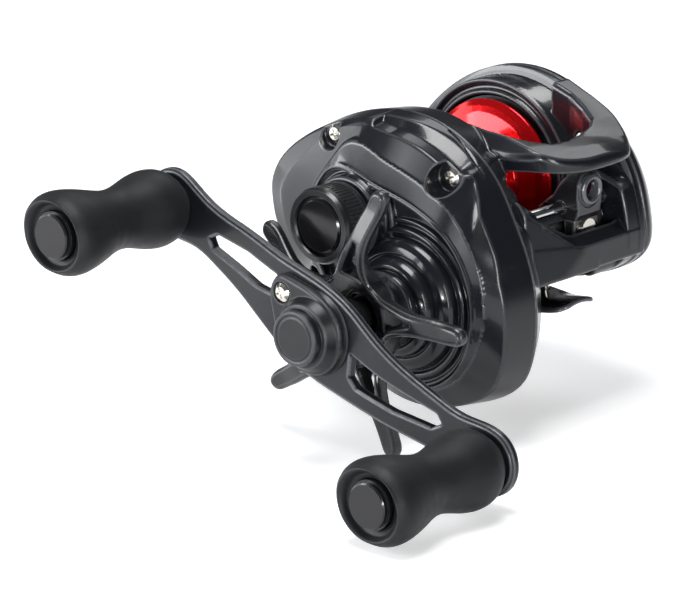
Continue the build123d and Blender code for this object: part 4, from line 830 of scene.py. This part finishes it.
def spool_shelf(grid, edge, carriage_room):
    """Shelf under the spool, its front lip and the slanted web at the handle side."""
    X, Y, Z = grid.X, grid.Y, grid.Z
    front = 0.1086 * X + 0.982 * Y + 0.1546 * Z - 35.27
    shelf = smax(grid.yz(SHELF_SIDE), np.maximum(X - 15.5, -17.8 - X), 0.2)
    web = cmax(front, (Z - 14.9 - 0.70 * (X - 0.6)) * 0.82, 1.7, 0.12)
    web = smax(web, -2.3 - front, 0.2)
    web = cut(web, carriage_room, 0.1)
    web = smax(web, np.maximum(X - 17.0, -3.0 - X), 0.2)
    web = smax(web, 7.4 + 0.33 * (Y - 27.5) - Z, 0.3)
    web = smax(web, Y - 33.5, 0.15)
    web = smax(web, 25.6 - Y, 0.2)
    web = smax(web, edge + 0.4, 0.2)
    shelf = smax(smin(shelf, web, 0.25), front, 0.15)
    # small round boss under the lip
    return smin(shelf, grid.cyl((27.9, 8.5), 2.5, -13.0, -6.0, 0.3), 0.2)


def reel_frame():
    """One-piece frame with its hood."""
    grid = Grid((-18.8, -31.2, -18.4), (21.4, 38.4, 45.0), 0.34)
    X, Y, Z = grid.X, grid.Y, grid.Z
    handle_edge = grid.yz(spline(HANDLE_OUTLINE))
    palm_edge = grid.yz(spline(PALM_OUTLINE))
    # room for the carriage over its whole travel, and for the bulge on its front
    travel = np.maximum(grid.yz(CARRIAGE_ROOM), np.abs(X) - 12.36)
    bulge = np.maximum(np.maximum(np.abs(X) - 10.6, np.abs(Z - WORM[1]) - 2.3),
                       np.abs(Y - 28.0) - 2.6)
    carriage_room = np.minimum(travel, bulge)

    body = smin(gear_wall(grid, handle_edge), hood(grid), 0.5)
    body = smin(body, palm_wall(grid, palm_edge), 0.4)
    body = smin(body, spool_shelf(grid, handle_edge, carriage_room), 0.3)
    # tube round the worm with its end boss, and the rod socket
    tube = smin(grid.cyl(WORM, 3.15, -13.0, 13.0), grid.cyl(WORM, 4.2, -16.7, -12.4), 0.3)
    tube = smin(tube, grid.cyl(ROD, 2.4, -15.6, -12.4), 0.3)
    body = smin(body, tube, 0.4)

    def bore(axis, radius, x0, x1):
        return grid.cyl(axis, radius, x0, x1, 0.1)
    cuts = [bore(WORM, 2.55, -13.0, 14.6), bore(ROD, 1.23, -14.0, 14.0),
            bore(WORM, 2.55, -15.0, -13.1), bore(DRIVE, 4.5, 12.0, 15.0),
            bore(SPOOL, 3.4, 12.0, 15.0)]
    # slot along the front of the worm tube
    cuts.append(np.maximum(np.maximum(np.abs(X) - 10.3, np.abs(Z - WORM[1]) - 1.45),
                           np.abs(Y - WORM[0] - 3.0) - 3.0))
    # upright slots through the rear of both walls
    for x in (13.6, -13.4):
        cuts.append(np.maximum(np.maximum(np.abs(X - x) - 2.2, np.abs(Y + 21.9) - 3.0),
                               np.abs(Z - 24.3) - 6.4))
    for screw in COVER_SCREWS:
        body = smin(body, grid.cyl(screw, 2.8, 14.6, 20.46), 0.3)
        cuts.append(bore(screw, 1.15, 13.2, 22))
    for screw in PALM_SCREWS:
        body = smin(body, grid.cyl(screw, 2.6, -18.0, -14.6), 0.3)
        cuts.append(bore(screw, 1.2, -20, -12))
        cuts.append(bore(screw, 2.15, -13.9, -12.0))
    cuts.append(np.maximum(carriage_room, 3.22 - grid.radius(WORM)))
    # room for the level-wind gears and the ratchet flange
    cuts += [bore(DRIVE, 11.25, 14.75, 16.75), bore(WORM, 6.7, 14.75, 17.2),
             bore(DRIVE, 7.3, 16.4, 18.0)]
    for tool in cuts:
        body = cut(body, tool, 0.2)
    sculpt("frame_shell", grid, body, "reel_body", "paint", "frame")


# ------------------------------------------------------------------ palm-side cover
def palm_cover():
    """Domed cover that slopes in more towards the front and the top."""
    grid = Grid((-30.6, -30.2, -0.8), (-17.4, 35.4, 44.8), 0.34)
    X, Y, Z = grid.X, grid.Y, grid.Z
    edge = grid.yz(spline(PALM_OUTLINE))
    spool_r = grid.radius(SPOOL)
    out = np.clip(-18.6 - X, 0, 12)
    front = sstep(Y, 2.0, 24.0)
    upper = sstep(Z, 18.0, 34.0)
    bulge = np.sqrt(out * out + 2.2 * 2.2) - 2.2
    rim = (edge + (0.10 + 0.78 * front + 0.36 * upper * (1 - front)) * bulge
           + 0.10 * (1 - front) * out ** 2 * 0.28)
    inwards = np.clip(-rim / 11.0, 0, 1)
    top = -28.9 + 2.6 * (1 - inwards) ** 2.0
    body = smax(rim, X + 18.06, 0.15)
    body = smax(body, (top - X) * 0.9, 1.4)
    # shallow stepped flank line
    step = 0.45 * sstep(-edge, 6.2, 6.9)
    body = smax(body, (top + 0.15 + step * (1 - sstep(-edge, 11.0, 12.0)) - X) * 0.9, 0.3)
    # round recess on the spool axis, the groove round it and the bore through it
    body = cut(body, grid.cyl(SPOOL, 8.75, -40, -27.9, 0.3), 0.3)
    body = cut(body, np.sqrt((spool_r - 10.2) ** 2 + (X + 28.9) ** 2) - 0.5, 0.25)
    body = cut(body, grid.cyl(SPOOL, 3.05, -40, -20, 0.1), 0.2)
    # hollow, less the screw posts and a ring round the spool axis
    room = smin(smax(rim + 1.6, -23.0 - X, 0.5), smax(rim + 3.4, -26.2 - X, 0.5), 0.3)
    for screw in PALM_SCREWS:
        room = cut(room, grid.cyl(screw, 2.5, -25.0, -17.0), 0.2)
    ring = smax(smax(spool_r - 17.6, 16.6 - spool_r, 0.2), -26.5 - X, 0.2)
    room = cut(room, ring, 0.2)
    body = cut(body, room, 0.2)
    for screw in PALM_SCREWS:
        body = cut(body, grid.cyl(screw, 1.05, -24.2, -17.0, 0.1), 0.15)
    sculpt("palm_side_cover_shell", grid, body, "reel_body", "paint", "palm_side_cover")


# ------------------------------------------------------------------ foot
FOOT_HALF_LENGTH = 31.6
FOOT_CORNER = 2.4       # corner radius in plan


def foot():
    """Plate with thin, arched, rounded tips and four countersunk holes."""
    grid = Grid((-7.2, -33.0, -0.5), (7.2, 33.0, 5.6), 0.24)
    X, Y, Z = grid.X, grid.Y, grid.Z
    from_middle = np.abs(Y)
    tip = sstep(from_middle, 17.0, 31.0)
    half_width = lookup(from_middle, [0, 20, 28, 31.6, 33], [6.0, 6.0, 5.9, 5.3, 5.1])
    arch = (1 - np.clip(np.abs(X) / 6.2, 0, 1) ** 2) * 1.55
    bottom = arch * tip + 0.75 * sstep(from_middle, 24.0, 31.6)
    top = bottom + 2.25 - 1.15 * tip
    side, end = np.abs(X) - half_width, from_middle - FOOT_HALF_LENGTH
    corner = np.sqrt(np.maximum(side + FOOT_CORNER, 0) ** 2
                     + np.maximum(end + FOOT_CORNER, 0) ** 2) - FOOT_CORNER
    plan = np.maximum(np.maximum(side, end), corner)
    body = smax(plan, np.maximum(bottom - Z, Z - top), 0.7)
    for y in (-19.5, 19.5):
        for x in (-3.2, 3.2):
            radius = np.sqrt((X - x) ** 2 + (Y - y) ** 2)
            body = cut(body, radius - 1.0, 0.1)
            body = cut(body, radius - 1.78 + 0.9 * np.clip(Z - 0.05, 0, 0.9), 0.1)
    sculpt("reel_foot_plate", grid, body, "reel_body", "foot", "reel_foot")


# ------------------------------------------------------------------ handle
# Arm and retainer are shaped in handle axes: u along the front arm, v across it,
# and the third axis outwards along the reel's X.
ARM_EYE = 7.0           # outer radius of the arm's ends
ARM_SIDE = [            # one long side of the arm: (u, v)
    (-45, 7.0), (-41, 6.5), (-36, 5.9), (-31, 6.2), (-26, 7.0), (-20, 7.8), (-15, 8.3),
    (-7, 9.3), (0, 9.8), (6, 9.1), (10.8, 7.8), (16, 6.5), (21, 5.6), (30, 4.9), (36, 5.0),
    (41, 6.4), (45, 7.0)]
FRONT_SLOT = [          # (u, v)
    (9.6, 0.9), (10.9, -3.4), (13.2, -4.4), (22.2, -3.5), (31.2, -1.3), (32.8, 0.6),
    (31.3, 1.7), (23.5, 1.0), (17.5, 0.7)]
REAR_SLOT = [           # (u, v)
    (-12.4, 0.6), (-12.9, 3.6), (-13.6, 4.3), (-22.2, 3.5), (-31.2, 1.3), (-32.8, -0.6),
    (-31.3, -1.7), (-23.5, -1.0), (-17.5, -0.7)]
RETAINER_OUTLINE = [    # (u, v)
    (-12.3, 4.9), (-12.1, 2.0), (-9.6, -1.8), (-7.2, -5.0), (0, -8.2), (6, -5.8), (8.2, 0),
    (5.6, 6.2), (0, 8.2), (-5.0, 8.0), (-9.3, 7.3), (-11.5, 6.5)]


def from_handle(points, normals):
    """Handle axes to the reel's axes."""
    def turn(vectors):
        u, v, out = vectors.T
        return np.stack([out, u * HANDLE_COS - v * HANDLE_SIN,
                         u * HANDLE_SIN + v * HANDLE_COS], 1)
    points = turn(points)
    points[:, 1:] += DRIVE
    return points, turn(normals)


def arm():
    """Cranked strap with two slots, knob holes and a flatted hole for the shaft."""
    grid = Grid((-53.2, -11.0, 51.8), (53.2, 11.0, 59.2), 0.26)
    U, V, OUT = grid.X, grid.Y, grid.Z
    half = ARM_SIDE + [(KNOB_REACH + ARM_EYE * math.sin(a), ARM_EYE * math.cos(a))
                       for a in np.linspace(0.2, math.pi - 0.2, 12)]
    plan = grid.xy(spline(half + [(-u, -v) for u, v in half], 3))
    slots = np.minimum(grid.xy(FRONT_SLOT), grid.xy(REAR_SLOT)) - 0.15
    outer = np.interp(np.abs(grid.x), [0, 12, 15, 19, 26, 33, 38, 43, 54],
                      [57.9, 57.9, 57.8, 57.45, 56.65, 55.95, 55.6, 55.4, 55.4])
    half_thick = 1.2
    middle = running_mean(outer, 9)[:, None, None] - half_thick
    body = cmax(plan, np.abs(OUT - middle) - half_thick, 0.6, 0.1)
    body = cmax(body, -slots, 0.35, 0.1)
    for u in (KNOB_REACH, -KNOB_REACH):
        hole = np.sqrt((U - u) ** 2 + V ** 2) - 2.05
        body = cut(body, np.maximum(hole, -1), 0.15)
    screw_u, screw_v = RETAINER_SCREW
    body = cut(body, np.sqrt((U - screw_u) ** 2 + (V - screw_v) ** 2) - 0.85, 0.1)
    shaft_hole = np.maximum(np.sqrt(U ** 2 + V ** 2) - 3.05, np.abs(V) - 2.4)
    body = cut(body, shaft_hole, 0.1)
    sculpt("handle_arm_strap", grid, body, "handle", "arm", "handle_arm", place=from_handle)


# star arms: angle from +Y towards +Z, then outlines as (along, across) from the drive axis
STAR_ANGLES = (75.3, 3.3, -68.7, -140.7, 147.3)
STAR_ARM = [
    (4.0, 7.0), (8.2, 6.1), (11.2, 5.4), (14.9, 4.5), (18.0, 3.85), (21.5, 3.4), (25.5, 2.6),
    (27.5, 2.0), (28.3, 0.8), (28.0, -0.7), (26.4, -1.35), (24.0, -1.25), (20.2, -0.7),
    (16.2, -0.5), (13.2, -0.9), (10.3, -2.0), (8.4, -3.6), (5.5, -6.2)]
STAR_WINDOW = [
    (9.3, 3.9), (9.7, 4.1), (16.6, 2.3), (16.6, 1.7), (11.0, 0.1), (9.6, -0.6), (9.2, -0.4)]
STAR_HALF = 29.6        # half height of the grid round the star


def star():
    """Five swept arms, each with a triangular window at its root."""
    grid = Grid((38.4, DRIVE[0] - STAR_HALF, DRIVE[1] - STAR_HALF),
                (51.0, DRIVE[0] + STAR_HALF, DRIVE[1] + STAR_HALF), 0.28)
    X = grid.X
    off_y, off_z = grid.Y - DRIVE[0], grid.Z - DRIVE[1]
    radius = np.sqrt(off_y ** 2 + off_z ** 2)
    plan = (radius - 8.3).astype(f4)
    windows = []

    def turned(outline, angle):
        c, s = math.cos(angle), math.sin(angle)
        return grid.yz([(DRIVE[0] + u * c - v * s, DRIVE[1] + u * s + v * c)
                        for u, v in outline])
    for degrees in STAR_ANGLES:
        angle = math.radians(degrees)
        plan = smin(plan, turned(spline(STAR_ARM, 3), angle), 1.5)
        windows.append(turned(STAR_WINDOW, angle) - 0.1)
    # x of the inner and outer faces by radius
    radii = np.linspace(0, 40, 200)
    inner = np.interp(radii, [0, 8.3, 9.4, 12, 15, 18, 22, 26, 40],
                      [38.8, 38.8, 43.0, 46.2, 47.0, 46.7, 45.8, 45.0, 44.6])
    outer = np.interp(radii, [0, 6.2, 8.0, 10, 12, 15, 18, 21, 24, 26, 40],
                      [46.4, 46.6, 47.7, 48.9, 49.6, 50.0, 49.6, 48.8, 48.0, 47.8, 47.6])
    for _ in range(2):
        outer = running_mean(outer, 5)
    body = cmax(plan, (X - lookup(radius, radii, outer)) * 0.92, 0.7, 0.14)
    body = cmax(body, (lookup(radius, radii, inner) - X) * 0.85, 0.5, 0.2)
    body = cmax(body, -np.minimum.reduce(windows), 0.3, 0.1)
    # shallow dish round the nut, and its hexagonal hole
    body = cut(body, smax(radius - 6.0, 43.7 - X, 0.3), 0.2)
    flats = []
    for k in range(6):
        angle = HANDLE_ANGLE + math.radians(60 * k)
        flats.append(off_y * math.cos(angle) + off_z * math.sin(angle) - 4.3)
    body = cut(body, np.maximum.reduce(flats), 0.15)
    sculpt("star_drag_wheel", grid, body, "star", "star", "star_drag")


def retainer():
    """Flat-lobed cap over the handle nut, with a cone, a round top and a screw recess."""
    grid = Grid((-13.6, -9.4, 57.6), (9.4, 9.4, 65.4), 0.22)
    U, V, OUT = grid.X, grid.Y, grid.Z
    radius = np.sqrt(U ** 2 + V ** 2)
    base = 57.95 - OUT
    plan = grid.xy(spline(RETAINER_OUTLINE, 5))
    body = smax(smax(plan, base, 0.2), OUT - 60.2, 0.8)
    cone = smax(radius - 7.55 + 0.55 * (OUT - 60.2), OUT - 62.3, 0.35)
    body = smin(body, smax(cone, base, 0.2), 0.12)
    top = smax(radius - 5.6, OUT - 64.35, 0.55)
    body = smin(body, smax(top, base, 0.2), 0.12)
    body = cut(body, np.sqrt((radius - 4.5) ** 2 + (OUT - 64.45) ** 2) - 0.28, 0.1)
    body = cut(body, smax(radius - 4.75, OUT - 62.3, 0.2), 0.2)
    screw_u, screw_v = RETAINER_SCREW
    screw_r = np.sqrt((U - screw_u) ** 2 + (V - screw_v) ** 2)
    body = cut(body, smax(screw_r - 2.15, 59.4 - OUT, 0.1), 0.2)
    body = cut(body, screw_r - 1.0, 0.1)
    sculpt("nut_retainer_cap", grid, body, "handle", "retainer", "nut_retainer",
           place=from_handle)


# outer skin of a knob: (x, half width along the arm, half width across it)
KNOB_SKIN = np.array([
    (56.3, 5.2, 5.0), (56.7, 6.3, 6.1), (58.5, 7.55, 7.3), (60.3, 8.05, 7.8),
    (62.5, 8.15, 7.9), (65.0, 7.75, 7.5), (67.5, 7.05, 6.8), (70.0, 6.45, 6.2),
    (72.0, 6.25, 6.0), (74.0, 6.35, 6.1), (76.5, 6.95, 6.6), (79.0, 7.8, 7.2),
    (81.5, 8.55, 7.75), (84.0, 9.1, 8.15), (86.0, 9.25, 8.2), (87.6, 9.0, 7.9),
    (88.5, 8.5, 7.4), (88.95, 7.9, 6.9)])
# rounded mouth, sloping recess, floor, bore and inner face: (x, radius)
KNOB_INSIDE = [
    (89.1, 7.2), (89.0, 6.85), (88.6, 6.6), (87.9, 6.35), (87.5, 6.2), (87.35, 5.9),
    (87.35, 5.1), (87.2, 5.0), (84.9, 5.0), (84.9, 3.32), (56.4, 3.32), (56.3, 3.6)]
KNOB_FLOOR = 87.35      # above this x the recess grows oval


def knob(name, side, body, node):
    """Oval grip on the front (side 1) or rear (side -1) end of the arm."""
    centre_y = DRIVE[0] + side * KNOB_REACH * HANDLE_COS
    centre_z = DRIVE[1] + side * KNOB_REACH * HANDLE_SIN

    def smooth(widths):
        kernel = np.array([1, 4, 6, 4, 1]) / 16.0
        for _ in range(3):
            new = np.convolve(np.pad(widths, 2, mode='edge'), kernel, 'valid')
            new[:2], new[-2:] = widths[:2], widths[-2:]
            widths = new
        return widths
    stations = KNOB_SKIN[:, 0]
    xs = np.linspace(stations[0], stations[-1], 90)
    rings = list(zip(xs, *(smooth(np.interp(xs, stations, KNOB_SKIN[:, i]))
                           for i in (1, 2))))
    for x, radius in KNOB_INSIDE:
        oval = (x - KNOB_FLOOR) / 1.75 if x > KNOB_FLOOR else 0.0
        rings.append((x, radius + 0.55 * oval, radius - 0.15 * oval))
    segments = 112
    angle = np.linspace(0, 2 * np.pi, segments, endpoint=False)
    points = []
    for x, along, across in rings:
        u = along * np.cos(angle)
        v = across * np.sin(angle)
        points.append(np.stack([np.full(segments, x),
                                centre_y + u * HANDLE_COS - v * HANDLE_SIN,
                                centre_z + u * HANDLE_SIN + v * HANDLE_COS], 1))
    quads = ring_quads(len(rings), segments)
    mesh_object(name, np.concatenate(points), quads, body, "rubber", node)


# ------------------------------------------------------------------ floor, light, camera
# Scene places and sizes are in metres.
# name, place, aim, width, height, watts, colour
WHITE = (1, 1, 1)
LIGHTS = [
    ("handle_box", (0.62, -0.42, 0.20), (0.03, 0.0, 0.015), 0.60, 0.40, 6.9,
     (0.97, 0.985, 1.0)),
    ("front_box", (0.34, 0.72, 0.16), (0.02, 0.0, 0.015), 0.12, 0.50, 2.5, WHITE),
    ("top_box", (0.10, 0.02, 0.62), (0.02, 0.0, 0.01), 0.30, 0.30, 3.4, WHITE),
    ("rear_box", (-0.50, -0.20, 0.55), (0.0, 0.0, 0.02), 0.40, 0.30, 0.8,
     (0.98, 0.99, 1.0)),
    ("tail_box", (0.30, -0.74, 0.16), (0.02, 0.0, 0.015), 0.50, 0.40, 1.5,
     (0.97, 0.985, 1.0)),
    ("key_low", (0.66, 0.36, 0.05), (0.02, 0.0, 0.015), 0.12, 0.10, 2.0, WHITE)]


def link_object(name, data):
    ob = bpy.data.objects.new(name, data)
    bpy.context.scene.collection.objects.link(ob)
    return ob


def floor():
    """Pale floor just below the reel, lifted for camera rays and a little in reflections."""
    half = 3.0
    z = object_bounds()[0].z - 0.0004
    mesh = bpy.data.meshes.new("floor")
    mesh.from_pydata([(-half, -half, z), (half, -half, z), (half, half, z), (-half, half, z)],
                     [], [(0, 1, 2, 3)])
    link_object("floor", mesh)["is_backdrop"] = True
    mat = bpy.data.materials.new("pale_floor")
    mat.use_nodes = True
    tree = mat.node_tree
    shader = tree.nodes["Principled BSDF"]
    shader.inputs["Base Color"].default_value = (0.82, 0.82, 0.83, 1)
    shader.inputs["Roughness"].default_value = 0.6
    ray = add_node(tree, "LightPath")
    lift = add_node(tree, "Math", {1: 0.46}, operation='MULTIPLY')
    seen = add_node(tree, "Math", {0: ray.outputs["Is Glossy Ray"], 1: 0.35,
                                   2: ray.outputs["Is Camera Ray"]},
                    operation='MULTIPLY_ADD')
    tree.links.new(seen.outputs[0], lift.inputs[0])
    tree.links.new(lift.outputs[0], shader.inputs["Emission Strength"])
    shader.inputs["Emission Color"].default_value = (1, 1, 1, 1)
    mesh.materials.append(mat)


def studio_world():
    """Dim vertical gradient that lights the reel; the camera sees near white."""
    world = bpy.data.worlds.new("studio")
    bpy.context.scene.world = world
    world.use_nodes = True
    tree = world.node_tree
    background = tree.nodes["Background"]
    coords = add_node(tree, "TexCoord")
    split = add_node(tree, "SeparateXYZ", {0: coords.outputs["Generated"]})
    height = remap(tree, split.outputs["Z"], (-1.0, 1.0), (0.0, 1.0))
    gradient = add_node(tree, "ValToRGB", {"Fac": height})
    stops = gradient.color_ramp.elements
    stops[0].position = 0.0
    stops[0].color = (0.34, 0.345, 0.36, 1)
    stops[1].position = 1.0
    stops[1].color = (0.16, 0.165, 0.175, 1)
    for position, grey in ((0.5, 0.15), (0.56, 0.05), (0.75, 0.04)):
        stops.new(position).color = (grey, grey * 1.02, grey * 1.06, 1)
    ray = add_node(tree, "LightPath")
    mix = add_node(tree, "Mix", {"B": (0.97, 0.97, 0.975, 1),
                                 "Factor": ray.outputs["Is Camera Ray"],
                                 "A": gradient.outputs["Color"]}, data_type='RGBA')
    tree.links.new(mix.outputs["Result"], background.inputs["Color"])
    background.inputs["Strength"].default_value = 1.0


def lights():
    for name, place, aim, width, height, watts, colour in LIGHTS:
        data = bpy.data.lights.new(name, 'AREA')
        data.shape = 'RECTANGLE'
        data.size, data.size_y = width, height
        data.energy = watts
        data.color = colour
        ob = link_object(name, data)
        ob.location = place
        ob.rotation_mode = 'QUATERNION'
        ob.rotation_quaternion = (Vector(aim) - Vector(place)).to_track_quat('-Z', 'Y')


def camera():
    """Long lens from the front on the handle side, a little above the reel."""
    data = bpy.data.cameras.new("camera")
    data.sensor_width = 36.0
    data.lens = 227.1
    data.clip_start, data.clip_end = 0.05, 20.0
    ob = link_object("camera", data)
    right = Vector((-.66862, .74358, .00732)).normalized()
    back = Vector((.71222, .63753, .29378)).normalized()
    up = back.cross(right).normalized()
    right = up.cross(back).normalized()
    place = (0.6509, 0.5491, 0.2578)
    ob.matrix_world = Matrix([*zip(right, up, back, place), (0, 0, 0, 1)])
    bpy.context.scene.camera = ob


handle_cover()
spool()
line_guide()
reel_frame()
palm_cover()
foot()
arm()
star()
retainer()
knob("knob_grip_front_skin", 1, "knob_front", "knob_grip_front")
knob("knob_grip_rear_skin", -1, "knob_rear", "knob_grip_rear")
floor()
studio_world()
lights()
camera()
bpy.context.scene.view_settings.view_transform = 'Standard'
